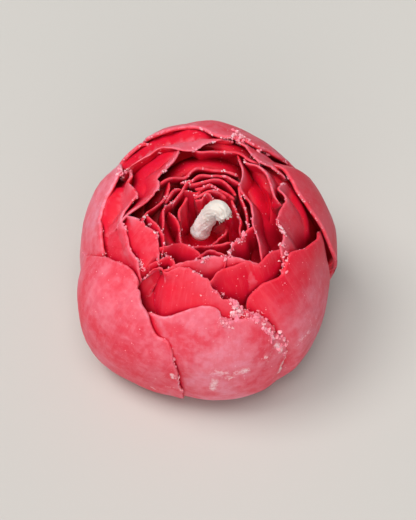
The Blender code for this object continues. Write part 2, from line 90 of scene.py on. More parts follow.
# How a guard petal's shape changes near its rim and foot: the latitudes over which its belly swells below the rim, the
# latitudes above the foot over which a dip under a neighbour grows from its share at the foot, the latitude at which a
# dip has shifted in full, the latitudes over which the rim lifts, and the ones over which the wax grows uneven.
SWELL_LATITUDES = 18
TUCK_FADE_LATITUDES = 40
TUCK_AT_FOOT = 0.12
TUCK_SHIFT_LATITUDE = 40
RISE_LATITUDES = (5, 40)
UNEVEN_LATITUDES = (-44, -30)

# An inner petal is narrower at its root by this share, and keeps GUARD_GAP inside the guard petals unless GAPS says
# otherwise. That gap and the dips under its neighbours are full this far below its rim. A dip reaches from the petal's
# end over this share of its half width, and the rim drops at its corners by this power of the distance from the middle.
# Its root goes deeper than its length says, and its wax is less uneven than a guard petal's.
INNER_TAPER = 0.25
GUARD_GAP = 1.7
GAPS = {"second_left": 2.6, "second_front": 1.3}
OPENS_OVER = 5
SIDE_TUCK_SHARE = 0.77
CORNER_POWER = 4
SUNK_ROOT = 4.0
INNER_UNEVEN = 0.8

# Steps along a smooth curve for each of its points, for rims and the wick, and for lathed sections; steps up the
# globe; how far to each side its slope is measured; and the parts in which distances are worked out, to save memory.
CURVE_STEPS = 20
LATHE_STEPS = 6
SECTION_STEPS = 40
SHORT_WAY = 0.5
DISTANCE_PARTS = 12

# Petals that wrap the globe down to its foot. edge is the free edge from the left foot over the tip to the right foot
# and root the longitudes of the foot's two ends. tuck is where the petal dips under a neighbour, as (depth, longitude
# where it is full, longitude where it starts, how far both have shifted higher up). swell, how far the belly stands
# out of the globe, and rise, how far the rim is lifted, are given at five places from left to right.
GUARD_PETALS = {
    "front_left": dict(
        edge=[(-108, -36), (-104, -8), (-97, 12), (-86, 21), (-77, 32), (-68, 41), (-56, 48), (-46, 48), (-39, 42),
              (-30, 34), (-25, 27), (-18, 25), (-15, 14), (-13, 0), (-12, -18), (-13, -37)],
        root=(-104, -16), tuck=[(1.6, -96, -76, 0)], swell=(-0.6, 0.0, 2.8, 0.9, -0.4)),
    "front": dict(
        edge=[(-40, -36), (-42, 0), (-42, 20), (-34, 34), (-22, 38), (-14, 43), (-4, 47), (4, 46), (10, 40), (17, 38),
              (25, 37), (32, 27), (36, 11), (34, -10), (32, -37)],
        root=(-38, 28), tuck=[(1.2, -14, 0, -22)], swell=(0.0, -0.3, -0.3, 0.2, 0.4)),
    "front_right": dict(
        edge=[(16, -36), (16, 10), (20, 36), (24, 46), (34, 50), (46, 48), (53, 50), (61, 51), (70, 46), (80, 40),
              (92, 32), (104, 8), (106, -37)],
        root=(18, 102), tuck=[(2.2, 34, 46, -10), (1.4, 92, 82, 0)], swell=(0.0, 0.5, -0.8, -1.9, -0.6)),
    "right": dict(
        edge=[(98, -37), (96, -14), (91, 5), (87, 20), (92, 36), (97, 46), (104, 52), (114, 53), (123, 55), (133, 58),
              (141, 52), (148, 30), (152, -5), (152, -36)],
        root=(98, 148), tuck=[(2.2, 134, 120, 0)], swell=(-0.4, 0.7, 1.0, 0.6, 0.0), rise=(0, 0, 0.2, -0.2, -0.6)),
    "back": dict(
        edge=[(130, -36), (128, 0), (129, 34), (134, 48), (144, 57), (154, 59), (164, 62), (176, 62), (186, 56),
              (196, 52), (208, 50), (215, 36), (219, 0), (218, -36)],
        root=(134, 214), swell=(-0.2, 0.4, 1.4, 1.2, 0.8), rise=(-0.6, 0.9, 1.4, 2.8, 4.2)),
    "back_left": dict(
        edge=[(196, -36), (194, 10), (199, 32), (207, 41), (216, 39), (224, 35), (234, 31), (243, 25), (250, 6),
              (252, -36)],
        root=(200, 248), tuck=[(2.8, 210, 218, 0), (1.6, 236, 228, 0)], swell=(0.8, 1.5, 1.5, 1.5, 1.2),
        rise=(2.0, 3.2, 3.2, 2.6, 1.2)),
    "left": dict(
        edge=[(228, -36), (227, 8), (231, 34), (237, 44), (244, 46), (250, 46), (259, 43), (268, 41), (278, 42),
              (288, 38), (296, 20), (298, -36)],
        root=(232, 294), tuck=[(1.8, 284, 274, 10)], swell=(0.8, 1.1, -0.1, -1.0, -1.6), rise=(2.0, 1.6, 0.4, 0, 0)),
}

# Petals that stand inside the guard petals, as ((angle from the vertical at the rim, at the root), height along the
# petal's arc, how far the rim drops at its ends, (how deep the left end lies inside its neighbour, the right end),
# the rim from left to right).
INNER_PETALS = {
    "second_left": ((36, 16), 17, 2.5, (0.5, 0.0), [(-126, 50), (-117, 56), (-111, 56), (-104, 60), (-97, 63),
        (-91, 60), (-86, 56), (-80, 54), (-72, 55), (-58, 54), (-50, 54), (-41, 51)]),
    "second_back_left": ((82, -10), 15, 2.0, (0.5, 0.5), [(-116, 46), (-126, 52), (-134, 57), (-143, 58), (-150, 65),
        (-158, 69), (-168, 70), (-182, 67), (-194, 65), (-202, 62)]),
    "second_back_right": ((68, 0), 13, 1.5, (0.0, 0.5), [(158, 61), (148, 63), (139, 65), (130, 65), (121, 61),
        (113, 57)]),
    "second_right": ((32, 16), 16, 2.0, (0.5, 1.0), [(112, 58), (104, 63), (97, 60), (91, 60), (83, 62), (73, 62),
        (68, 58), (60, 56), (52, 52), (44, 46)]),
    "second_front": ((50, 18), 17, 2.0, (6.5, 0.0), [(-45, 46), (-40, 54), (-35, 58), (-30, 57), (-19, 62), (-8, 60),
        (0, 58), (4, 54), (11, 49), (17, 46), (24, 40), (28, 34)]),
    "second_front_right": ((36, 6), 15, 2.0, (3.0, 1.0), [(-6, 52), (2, 58), (10, 62), (22, 62), (31, 62), (36, 58),
        (43, 58), (54, 58), (64, 53)]),
    "third_left_back": ((58, -14), 14, 1.5, (0.5, 0.5), [(-156, 67), (-148, 70), (-133, 71), (-120, 70), (-108, 72),
        (-96, 70), (-87, 66), (-82, 58), (-78, 52)]),
    "third_back": ((44, 0), 12, 1.5, (1.0, 0.0), [(-162, 68), (-170, 71), (-184, 71), (-198, 70), (-210, 68),
        (-222, 68), (-232, 66)]),
    "third_right": ((40, 0), 13, 1.5, (0.0, 3.0), [(146, 68), (139, 70), (127, 67), (119, 66), (109, 66), (98, 66),
        (92, 64.5), (89, 62)]),
    "third_left": ((66, 4), 14, 2.0, (1.0, 4.5), [(-86, 57), (-74, 64), (-65, 66), (-56, 68), (-46, 65), (-38, 60),
        (-33, 54)]),
    "third_left_inner": ((30, 0), 11, 1.0, (0.5, 0.5), [(-80, 67), (-70, 69), (-62, 70), (-52, 70), (-43, 67),
        (-38, 63)]),
    "third_front_left": ((22, 0), 11, 1.5, (0.5, 0.5), [(-44, 57), (-38, 60), (-33, 64), (-27, 62), (-20, 58)]),
    "third_front": ((44, 6), 12, 1.5, (1.0, 0.5), [(-34, 59), (-24, 63), (-14, 66), (0, 69), (14, 68), (25, 66),
        (34, 62), (42, 58)]),
    "fourth_right": ((36, 0), 12, 1.0, (0.5, 0.5), [(152, 69), (145, 71), (132, 74), (123, 78), (109, 78), (94, 76),
        (78, 75), (61, 72), (46, 64), (40, 60)]),
    "fourth_back": ((34, 0), 11, 1.0, (0.5, 0.5), [(-112, 72), (-124, 74), (-142, 78), (-163, 77), (-186, 78),
        (-207, 77), (-224, 76)]),
    "fourth_left": ((34, 0), 11, 1.0, (0.5, 0.5), [(-70, 64), (-78, 67), (-84, 71), (-92, 74), (-103, 76), (-114, 76),
        (-124, 75)]),
    "fourth_left_inner": ((26, 0), 10, 1.0, (0.5, 0.5), [(-58, 72), (-70, 74), (-84, 75), (-94, 77), (-106, 79)]),
    "fourth_front_left": ((38, 0), 11, 1.0, (0.5, 0.5), [(-50, 62), (-41, 67), (-33, 73), (-20, 74), (-10, 72),
        (-2, 68)]),
    "fourth_front": ((30, 0), 10, 1.0, (0.5, 0.5), [(-12, 69), (-6, 71), (3, 74), (13, 71), (20, 68)]),
    "fourth_front_right": ((32, 0), 11, 1.0, (0.5, 0.5), [(12, 64), (18, 68), (30, 73), (44, 73), (55, 74),
        (66, 72)]),
    "fifth_back": ((24, 0), 10, 1.0, (0.3, 0.3), [(-142, 80), (-158, 81), (-178, 81), (-202, 80), (-222, 80),
        (-240, 80)]),
    "fifth_back_left": ((22, 0), 10, 1.0, (0.3, 0.3), [(-96, 76), (-108, 77), (-120, 78), (-134, 81), (-148, 83),
        (-164, 83)]),
    "fifth_front_left": ((26, 0), 10, 1.0, (0.3, 0.3), [(-88, 78), (-74, 80), (-58, 80), (-44, 77), (-32, 74)]),
    "fifth_front": ((20, 0), 10, 1.0, (0.3, 0.3), [(-24, 76), (-10, 78), (6, 79), (22, 78), (36, 77)]),
    "fifth_right": ((22, 0), 10, 1.0, (0.3, 0.3), [(122, 82), (104, 82), (86, 81), (70, 79), (58, 78), (48, 76)]),
    "heart_back": ((12, 0), 8, 1.0, (0.0, 0.0), [(138, 84), (160, 85), (182, 84), (204, 85), (222, 84)]),
    "heart_left": ((12, 0), 8, 1.0, (0.0, 0.0), [(-128, 82), (-110, 82), (-92, 81), (-76, 81)]),
    "heart_front": ((12, 0), 8, 1.0, (0.0, 0.0), [(8, 82), (28, 83), (50, 83), (68, 84)]),
    "fold_back_outer": ((30, 0), 9, 0.8, (0.3, 0.3), [(-132, 78), (-148, 79.5), (-166, 79), (-186, 79.5),
        (-204, 78.5), (-222, 78), (-236, 77)]),
    "fold_back_middle": ((24, 0), 8, 0.8, (0.3, 0.3), [(-150, 82), (-166, 82.5), (-184, 82), (-206, 82.5), (-226, 82),
        (-244, 81)]),
    "fold_back_inner": ((18, 0), 8, 0.8, (0.2, 0.2), [(-140, 83.5), (-160, 84), (-184, 83.5), (-206, 83.2),
        (-230, 83)]),
    "fold_left": ((24, 0), 8, 0.8, (0.3, 0.3), [(-98, 78.5), (-110, 79.5), (-124, 80), (-138, 79.5), (-150, 79)]),
    "fold_right": ((28, 0), 9, 0.8, (0.3, 0.3), [(128, 78), (112, 79), (96, 78.5), (82, 77.5), (68, 76), (56, 74)]),
}

# The wick's path as (x, y, z) from the globe's axis: out of the eye and bent over at its tip. Below the first point it
# runs straight down its channel.
WICK_PATH = [(-1.9, 0.1, 36.5), (-1.7, 0.1, 38.5), (-0.7, 0.0, 41.5), (0.4, -0.2, 44.5), (1.5, -0.5, 47.0),
             (2.9, -1.1, 48.0), (3.9, -1.9, 46.4)]
WICK_X, WICK_Y, WICK_SHOWS = WICK_PATH[0]
WICK_START = 0.6
WICK_RADIUS = 2.1

# How worn each petal's rim is, as (share of the way along it, wear). Wear chips the rim and carries crumbs; any petal
# that isn't named has the usual wear all along.
USUAL_WEAR = 0.9
WEAR = {
    "front_left": [(0, 0.5), (0.35, 0.6), (0.5, 0.9), (0.58, 1.6), (0.66, 0.7), (0.78, 1.4), (0.9, 1.2), (1, 0.8)],
    "front": [(0, 0.5), (0.4, 0.4), (0.55, 0.9), (0.62, 2.2), (0.74, 2.2), (0.8, 1.6), (1, 1.4)],
    "front_right": [(0, 0.6), (0.2, 0.6), (0.5, 0.4), (1, 0.6)],
    "right": [(0, 0.5), (0.3, 0.5), (0.45, 1.0), (0.7, 1.8), (1, 1.2)],
    "back": [(0, 0.5), (0.3, 0.6), (0.35, 1.0), (0.385, 2.6), (0.42, 2.6), (0.46, 1.0), (1, 0.8)],
    "left": [(0, 0.8), (0.4, 1.2), (0.6, 1.4), (1, 0.8)],
    "second_left": [(0, 1.4), (0.5, 1.5), (1, 1.0)],
    "second_back_left": [(0, 1.6), (0.3, 1.0), (1, 0.8)],
    "second_right": [(0, 1.2), (0.4, 1.3), (0.62, 2.0), (0.75, 3.0), (1, 2.4)],
    "second_front": [(0, 1.2), (0.4, 1.0), (0.6, 1.6), (0.75, 2.8), (1, 2.6)],
    "second_front_right": [(0, 0.9), (0.5, 0.7), (1, 0.7)],
    "third_left_back": [(0, 1.0), (0.4, 1.4), (1, 0.6)],
    "third_right": [(0, 1.6), (0.5, 0.8), (1, 0.6)],
    "third_left": [(0, 0.8), (0.5, 1.3), (1, 2.0)],
    "third_front": [(0, 1.4), (0.6, 1.6), (1, 1.0)],
    "fourth_front_right": [(0, 1.2), (0.5, 2.8), (1, 1.6)],
    "fourth_right": [(0, 0.8), (0.4, 1.2), (1, 0.5)],
    "fold_back_outer": [(0, 1.4), (1, 1.4)],
    "fold_back_middle": [(0, 1.2), (1, 1.8)],
    "fold_back_inner": [(0, 1.4), (1, 1.4)],
}

# Pale rubs on the outer petals, as (from longitude, latitude, to longitude, latitude, width, strength). Each is a line
# of RUB_STEPS points, and no vertex farther than RUB_REACH from its middle is looked at.
RUB_STEPS = 12
RUB_REACH = 14
RUBS = [
    (2, 10, 9, 4.5, 1.6, 0.8), (9, 4.5, 17, 7.5, 1.3, 0.9), (-1, 11.5, 4, 11.5, 0.9, 0.5), (3, 2, 2, -9, 1.5, 0.8),
    (23.5, 13, 28, 13.5, 1.1, 0.8), (24, 8.5, 35, 11.5, 0.5, 0.7), (31, 19, 33.5, 12, 0.9, 1.0),
    (34, 1, 33, -8, 1.0, 0.9), (41, 8.5, 52, 12.5, 1.8, 0.7), (-67, 6, -63, 7.5, 1.0, 0.6),
    (-61, 20, -54, 19.5, 0.8, 0.7), (-58, -18, -50, -22, 0.5, 0.9), (-26, -17.5, -25.5, -20, 0.8, 0.9),
    (-15.5, 4, -15, 1, 0.9, 1.0), (-19, -12, -13, -10.5, 0.5, 0.7), (-12.5, -7, -12, -12, 0.7, 0.8),
    (44, 34.5, 48, 34.5, 0.5, 0.5), (-40, 12, -36, 10, 0.9, 0.4), (70, 0, 80, 8, 1.6, 0.5),
    (110, 10, 118, 20, 1.4, 0.5), (150, 5, 160, 12, 1.6, 0.5), (190, -5, 200, 6, 1.4, 0.6),
    (230, 8, 236, 16, 1.5, 0.5), (262, 0, 270, 10, 1.6, 0.5), (175, 25, 186, 20, 1.1, 0.4),
]

# How pale each petal's outer face has gone, as (at its rim, lower down, over how many millimetres). A petal that
# isn't named has the usual paleness, and the last row is for every inner face.
USUAL_PALENESS = (0.3, 0.1, 3.0)
PALENESS = {
    "front_left": (1.0, 0.95, 6), "front": (1.1, 1.4, 8), "front_right": (0.1, 1.2, 16), "right": (0.6, 0.55, 8),
    "back": (0.9, 0.75, 8), "back_left": (0.55, 0.6, 6), "left": (1.35, 1.15, 9), "second_front": (0.5, 0.15, 5),
    "second_front_right": (0.2, 0.0, 3), "second_left": (1.0, 0.5, 6), "second_right": (0.7, 0.25, 8),
    "second_back_left": (0.9, 0.7, 6), "second_back_right": (1.2, 0.8, 6), "third_front": (0.8, 0.6, 5),
    "third_left": (0.8, 0.35, 5), "third_left_back": (0.9, 0.1, 4), "third_right": (0.9, 0.3, 4),
    "fourth_right": (0.9, 0.15, 5),
}
INNER_FACE_PALENESS = (0.3, 0.02, 3)

# Wax behind a petal's rim that fills the hollow there, as (thickness, how far below the rim it is reached).
BACKING = {"right": (2.8, 5.0), "back": (3.4, 4.0), "back_left": (3.0, 4.0), "left": (1.8, 4.0)}

# The wax between the petals, as it lies inside the bloom: (radius, height), higher at the back by BED_LEAN for each
# millimetre, and at the right lower by a share of that. The pool is the wax round the wick at the floor of the eye.
BED_SECTION = [(20.0, 24.0), (25.5, 31.0), (23.5, 35.0), (20.0, 39.4), (16.0, 43.0), (12.8, 44.8), (10.8, 44.0),
               (8.8, 40.0), (6.4, 37.0), (5.2, 34.6), (0.0, 34.0)]
BED_LEAN = 0.28
BED_RIGHT_SHARE = 0.4
POOL_SECTION = [(5.4, 32.4), (4.2, 34.3), (3.1, 35.2), (2.5, 36.4), (0.0, 36.6)]

# Between the guard petals and the next ones, at the back and sides, the wax forms a ledge under the guards' rims, as
# (longitude, latitude of its outer edge, depth there under the globe). It deepens inwards and sinks into the guards'
# wax outwards, each by so much over so many latitudes.
LEDGE = [(78, 38, 6.0), (88, 40, 3.2), (98, 46, 1.8), (124, 54, 1.6), (146, 57, 1.8), (154, 58, 1.8), (164, 59, 1.6),
         (176, 58, 0.2), (186, 54, -1.0), (196, 50, -1.6), (208, 46, -1.6), (216, 38, -1.2), (234, 31, -0.8),
         (243, 32, 0.0), (250, 42, 0.2), (259, 42, 0.4), (268, 40, 0.8), (278, 38, 1.2), (292, 34, 2.2), (304, 30, 5.0)]
LEDGE_LATITUDES = (24, 66)
LEDGE_POINTS = (110, 24)
LEDGE_DEEPENS = (3.4, 15)
LEDGE_SINKS = (1.4, 10)
LEDGE_UNEVEN = 1.4
LEDGE_SEED = 91
LEDGE_THICKNESS = 3.0

# The wick's channel is open only at the base. Both cuts start below the base.
OPEN_CHANNEL_TOP = 12.0
CHANNEL_RADIUS = 2.4
CUTS_FROM = -12.0
GROUND_RADIUS = 80
GROUND_SIDES = 24
ROUND_SIDES = 48

# The thickness of the rims of guard petals and of inner ones, and how far below them the petals have their own
# thickness again. A rim is rounded off, and at its very edge RIM_BLUNTNESS is left of each half.
GUARD_LIP = 1.1
INNER_LIP = 0.6
LIP_OVER = 2.0
RIM_BLUNTNESS = 0.1

# Waves as (height, size): of the wax everywhere, and of worn rims. Chips are where a noise of one size is over a level.
WAX_WAVES = [(0.24, 10), (0.10, 4), (0.03, 1.5)]
RIM_WAVES = [(0.17, 1.1), (0.30, 3.6)]
CHIP_SIZE = 2.2
CHIP_LEVEL = 0.3
CHIP_DEPTH = 1.5

# Crumbs for each millimetre of rim at a wear of one; how strongly they clump, and the clumps' size; the radius of
# small ones, what wear adds to it and up to which wear; the radius from which one gets more faces; how far they
# scatter, what wear adds to that and from which wear; how far one stands out of the wax, for its size, how far from the
# wax one may start, and how low one may lie.
CRUMBS_PER_MM = 2.6
CLUMPS = 2.4
CLUMP_SIZE = 2.6
CRUMB_RADIUS = (0.08, 0.17)
CRUMB_GROWTH = 0.16
GROWTH_WEAR = 2.5
LARGE_CRUMB = 0.26
CRUMB_SCATTER = (0.10, 0.24)
SCATTER_WEAR = 0.8
CRUMB_SEAT = 0.25
CRUMB_REACH = 1.2
LOWEST_CRUMB = 1.0

# Patches of crumbs where a rim is torn or rubbed, as ((x, y, z), how many, over what distance, largest radius).
CRUMB_PATCHES = [
    ((7.0, 20.5, 51.1), 16, 0.7, 0.45), ((8.0, 18.5, 52.0), 22, 0.8, 0.55), ((9.7, 17.9, 51.5), 16, 0.7, 0.45),
    ((7.5, 17.4, 51.7), 18, 0.7, 0.40), ((6.2, 17.8, 52.9), 10, 0.5, 0.35), ((1.7, -22.1, 43.1), 6, 0.4, 0.28),
    ((3.4, -20.9, 39.4), 8, 0.6, 0.35), ((5.3, -21.1, 37.9), 10, 0.6, 0.40), ((6.7, -24.3, 40.0), 26, 0.9, 0.50),
    ((7.0, -25.2, 38.2), 26, 0.8, 0.50), ((5.8, -25.9, 37.1), 22, 0.8, 0.45), ((8.9, -25.3, 38.0), 20, 0.8, 0.45),
    ((10.6, -25.7, 36.9), 16, 0.7, 0.40), ((4.8, -27.6, 37.1), 18, 0.8, 0.45), ((3.1, -27.4, 37.7), 12, 0.7, 0.35),
    ((13.1, -26.0, 35.6), 18, 0.8, 0.50), ((14.6, -26.7, 33.3), 22, 0.9, 0.55), ((16.1, -27.2, 30.5), 20, 0.8, 0.45),
    ((17.7, -27.4, 27.1), 16, 0.8, 0.40), ((19.0, -26.9, 23.8), 10, 0.6, 0.35), ((18.5, -7.1, 46.8), 10, 0.5, 0.35),
    ((18.5, -10.0, 45.4), 16, 0.7, 0.42), ((18.7, -12.0, 43.9), 16, 0.7, 0.42), ((18.5, -13.8, 42.3), 12, 0.6, 0.35),
    ((-16.5, -13.5, 43.1), 12, 0.6, 0.38), ((-15.8, -15.0, 42.7), 12, 0.6, 0.35),
    ((-10.4, -12.7, 45.3), 6, 0.4, 0.30), ((-12.1, -15.3, 45.5), 5, 0.4, 0.28), ((-3.2, 20.0, 51.8), 5, 0.4, 0.28),
    ((-12.0, 15.9, 49.3), 5, 0.4, 0.28), ((-9.9, 9.9, 51.6), 6, 0.4, 0.28), ((-11.1, 7.8, 51.5), 6, 0.4, 0.28),
    ((7.8, -9.3, 46.4), 8, 0.5, 0.32), ((5.8, -11.0, 45.9), 6, 0.4, 0.30), ((-14.1, -5.3, 47.2), 5, 0.4, 0.28),
    ((-12.8, -8.1, 48.1), 6, 0.4, 0.28), ((-6.7, -1.2, 39.6), 4, 0.4, 0.25), ((-2.5, 4.5, 46.1), 5, 0.4, 0.28),
    ((-0.7, 4.4, 46.7), 5, 0.4, 0.28),
]
PATCH_TIGHTNESS = 0.75
PATCH_FULLNESS = 1.5

# The wick: a cord of plies laid round each other, with yarns in each ply, soaked with wax at its foot and frayed at
# its tip.
WICK_SIDES = 84
WICK_RING_STEP = 0.14
HIDDEN_RINGS = 60
WICK_PLIES = 5
WICK_LAY = 60.0
PLY_RELIEF = 0.16
YARN_RELIEF = 0.10
YARNS_ROUND = 17
WICK_FULLNESS = 0.12
FOOT_FLARE = 0.55
FOOT_FLARE_HEIGHT = 3.0
FRAYED = 3.5
END_DOME = 0.3

# Its fibres: how many yarn ends stand out of the tip and how many loose hairs along it, and how far from the axis each
# kind starts. Then, for each kind, (how far it goes forward, how far outward, its radius, its bow, its rings, sides).
YARN_ENDS = 26
LOOSE_HAIRS = 70
END_STARTS = (0.6, 1.6)
HAIR_STARTS = WICK_RADIUS - 0.25
END_SHAPE = ((1.0, 2.1), (-0.2, 0.35), (0.20, 0.34), 0.3, 9, 8)
HAIR_SHAPE = ((0.5, 1.5), (0.1, 0.5), (0.04, 0.08), 0.25, 8, 5)

# How closed in the wax is, which the wax material turns into painted shade in its hollows: rays from just off each
# vertex, their reach, and how often the result is blurred.
HOLLOW_RAYS = 12
HOLLOW_START = 0.1
HOLLOW_REACH = 14.0
HOLLOW_BLURS = 5

# How near a petal's points a vertex is that belongs to it, the distance from a rim that counts as far, and how far
# apart in the noise each petal's streaks start.
ON_PETAL = 0.5
FAR_FROM_RIM = 8.0
STREAKS_APART = 40

# Faces along each kind of petal and up it, and the rows' distances below its rim, where they crowd together to round
# it off; and the sides of the core and the bed.
GUARD_FACES = (176, 27)
INNER_FACES = (52, 22)
NEAR_RIM = (0.0, 0.06, 0.16, 0.30, 0.50, 0.85, 1.4)
CORE_FACES = 180

# Faces that meet at more than this angle show a hard line.
HARD_ANGLE = 55

# The view, the floor and the light. Three soft lamps: two high ones, in front and at the left, and a low one in front,
# as (azimuth from the back towards the right, elevation, strength, width).
VIEW_ELEVATION = 54.0
VIEW_DISTANCE = 0.5
VIEW_TARGET = (0.0, 0.0003, 0.024)
VIEW_LENS = 135.69
FLOOR_SIZE = 3.0
FLOOR_DROP = 0.00005
SKY_STRENGTH = 0.20
LAMPS = {
    "front_lamp": (-172.0, 76.0, 1.40, 30.0),
    "left_lamp": (-90.0, 62.0, 1.80, 30.0),
    "low_lamp": (-178.0, 30.0, 1.32, 50.0),
}


def rgb(red, green, blue):
    return (red, green, blue, 1.0)


LAMP_COLOUR = (1.0, 0.985, 0.98)
SKY_COLOUR = rgb(0.66, 1.0, 1.05)
FLOOR_COLOUR = rgb(0.525, 0.488, 0.457)
# The wax's own red, and a dark red that is painted shade for the hollows between the petals.
WAX_RED, WAX_PAINTED_SHADE = rgb(0.70, 0.005, 0.030), rgb(0.24, 0.0008, 0.003)
WAX_FROST, WAX_STREAK = rgb(0.82, 0.37, 0.47), rgb(0.90, 0.50, 0.56)
WAX_CHALK, WAX_SPECK = rgb(0.92, 0.66, 0.69), rgb(0.96, 0.60, 0.62)
CRUMB_RED, CRUMB_PALE = rgb(0.93, 0.24, 0.32), rgb(0.97, 0.62, 0.64)
# Painted light and shade on the wick: a near-white for its lower part, shaded inside the eye, and a duller tint for its
# lit tip.
COTTON_LOW_PAINTED_LIGHT, COTTON_TIP_PAINTED_SHADE = rgb(0.99, 0.90, 0.87), rgb(0.70, 0.62, 0.56)
COTTON_HAIR, COTTON_PINK = rgb(0.84, 0.70, 0.62), rgb(0.95, 0.70, 0.68)

# Every noise here starts from these tables, so that each run gives the same candle.
CHANCE = np.random.default_rng(11)
SHUFFLED = CHANCE.permutation(256)
DIRECTIONS = CHANCE.normal(size=(256, 3))
DIRECTIONS /= np.linalg.norm(DIRECTIONS, axis=1, keepdims=True)


def noise_at(points, size, seed):
    """Smooth noise of about -1 to 1 at points, with features of about the given size."""
    spots = points / size + seed * 17.37
    cell = np.floor(spots).astype(int)
    inside = spots - cell
    fade = inside**3 * (inside * (inside * 6 - 15) + 10)
    total = np.zeros(points.shape[:-1])
    for corner in np.ndindex(2, 2, 2):
        x, y, z = ((cell[..., k] + corner[k]) & 255 for k in range(3))
        pick = SHUFFLED[(SHUFFLED[(SHUFFLED[x] + y) & 255] + z) & 255]
        weight = np.prod(np.where(np.array(corner) == 1, fade, 1 - fade), axis=-1)
        total += weight * np.sum((inside - corner) * DIRECTIONS[pick], axis=-1)
    return total * 1.6


def waves(points, rows, seed):
    """Noise added up from rows of (height, size)."""
    return sum(height * noise_at(points, size, seed + k) for k, (height, size) in enumerate(rows))


def between(table, x):
    """A smooth curve through rows of (x, values...), read at x, with the values in the last axis."""
    rows = np.array(table, float)
    known, values = rows[:, 0], rows[:, 1:]
    x = np.clip(np.asarray(x, float), known[0], known[-1])
    i = np.clip(np.searchsorted(known, x) - 1, 0, len(known) - 2)
    before = np.maximum(i - 1, 0)
    after = np.minimum(i + 2, len(known) - 1)
    step = (known[i + 1] - known[i])[..., None]
    t = (x - known[i])[..., None] / step
    slope_0 = (values[i + 1] - values[before]) / (known[i + 1] - known[before])[..., None] * step
    slope_1 = (values[after] - values[i]) / (known[after] - known[i])[..., None] * step
    return (
        (2 * t**3 - 3 * t**2 + 1) * values[i]
        + (t**3 - 2 * t**2 + t) * slope_0
        + (3 * t**2 - 2 * t**3) * values[i + 1]
        + (t**3 - t**2) * slope_1
    )


def smooth_step(x):
    """0 below 0, 1 above 1, and a smooth rise between."""
    x = np.clip(x, 0.0, 1.0)
    return x * x * (3 - 2 * x)


def risen(latitude, low, high):
    """0 up to the low latitude, 1 from the high one, and a smooth rise between."""
    return smooth_step((latitude - low) / (high - low))


def globe_section(longitude, latitude):
    """Radius and height of the globe."""
    section = between(GLOBE, latitude)
    rise = np.clip((latitude - LEAN_FROM_LATITUDE) / (LEAN_FULL_LATITUDE - LEAN_FROM_LATITUDE), 0, 1)
    return section[..., 0], section[..., 1] - CROWN_LEAN * np.cos(np.radians(longitude)) * rise


def around(longitude, radius, height):
    """Points at a longitude, a radius from the candle's axis and a height."""
    angle = np.radians(longitude)
    return np.stack([radius * np.sin(angle), -radius * np.cos(angle), height], axis=-1)


def globe(longitude, latitude):
    return around(longitude, *globe_section(longitude, latitude))


def globe_step(longitude, latitude, east, north):
    """From one side of a place on the globe to the other, by a short way east or north."""
    return globe(longitude + east, latitude + north) - globe(longitude - east, latitude - north)


def globe_normal(longitude, latitude):
    """The globe's outward normal."""
    east, north = globe_step(longitude, latitude, SHORT_WAY, 0), globe_step(longitude, latitude, 0, SHORT_WAY)
    normal = np.cross(east, north)
    return normal / np.linalg.norm(normal, axis=-1, keepdims=True)


def inside_the_guards(longitude, radius, height, gap):
    """The radius, held back by the gap where a petal would come out through the petals that wrap the globe."""
    latitudes = np.linspace(FOOT_LATITUDE, CROWN_LATITUDE, SECTION_STEPS)
    held = np.empty_like(radius)
    for k in range(len(radius)):
        section = globe_section(longitude[k, -1], latitudes)
        over = radius[k] - np.interp(height[k], section[1], section[0]) + gap[k]
        held[k] = radius[k] - np.where(over < 1, np.maximum(over + 1, 0) ** 2 / 4, over)
    return held


def walk_along(points):
    """The length walked to each point of a line of points."""
    return np.concatenate([[0], np.cumsum(np.linalg.norm(np.diff(points, axis=0), axis=1))])


def fine_curve(points, steps=CURVE_STEPS):
    """A smooth curve through points, with so many steps for each of them."""
    stops = np.linspace(0, len(points) - 1, steps * len(points))
    return between(np.column_stack([np.arange(len(points)), points]), stops)


def at_stops(curve, walked, stops):
    """Points of a curve at stops along the length walked on it."""
    return np.stack([np.interp(stops, walked, column) for column in curve.T], axis=-1)


def edge_path(edge, count):
    """count + 1 points (longitude, latitude) evenly spaced along a smooth curve through the edge's points."""
    dense = fine_curve(edge)
    walked = walk_along(globe(dense[:, 0], dense[:, 1]))
    return at_stops(dense, walked, np.linspace(0, walked[-1], count + 1))


def worn_back(walked, seed, rough):
    """How far a rim is worn back at each point along it: a fine wave, and now and then a deeper chip."""
    line = np.stack([walked, np.full_like(walked, seed * 3.1), np.zeros_like(walked)], axis=-1)
    chip = np.maximum(noise_at(line, CHIP_SIZE, seed + len(RIM_WAVES)) - CHIP_LEVEL, 0)
    return rough * (waves(line, RIM_WAVES, seed) + CHIP_DEPTH * chip)


def rows_below_rim(lengths, rows):
    """Each row's distance below the rim, from the root up, for columns of the given lengths."""
    near = np.array(NEAR_RIM)
    rest = np.linspace(1, 0, rows + 1 - len(near), endpoint=False)
    near_now = near[None, :] * np.minimum(1, lengths / (4 * near[-1]))
    low = near_now[:, -1:]
    return np.concatenate([low + (lengths - low) * rest[None, :], near_now[:, ::-1]], axis=1)


def distance_to(points, line):
    """Distance from each point to the nearest point of a line of points."""
    parts = np.array_split(points.reshape(-1, 3), DISTANCE_PARTS)
    nearest = [np.sqrt(((part[:, None, :] - line[None, :, :]) ** 2).sum(-1).min(1)) for part in parts]
    return np.concatenate(nearest).reshape(points.shape[:-1])


def rounded(outer, inner, near, lip):
    """Draws both faces together at the rim, so that it is round."""
    half = lip / 2
    share = 1 - np.minimum(near / half, 1)
    drawn = (half - np.maximum(half * np.sqrt(1 - share**2), RIM_BLUNTNESS))[..., None]
    across = outer - inner
    across /= np.linalg.norm(across, axis=-1, keepdims=True)
    return outer - across * drawn, inner + across * drawn


def lip_change(near, lip):
    """How much thicker than its blade a petal is, close to its rim."""
    return (lip - RIM_THICKNESS) * (1 - smooth_step(near / LIP_OVER))


def paleness(levels, near):
    """How pale a face has gone at each distance from its rim."""
    at_rim, lower, over = levels
    return at_rim + (lower - at_rim) * smooth_step(near / over)


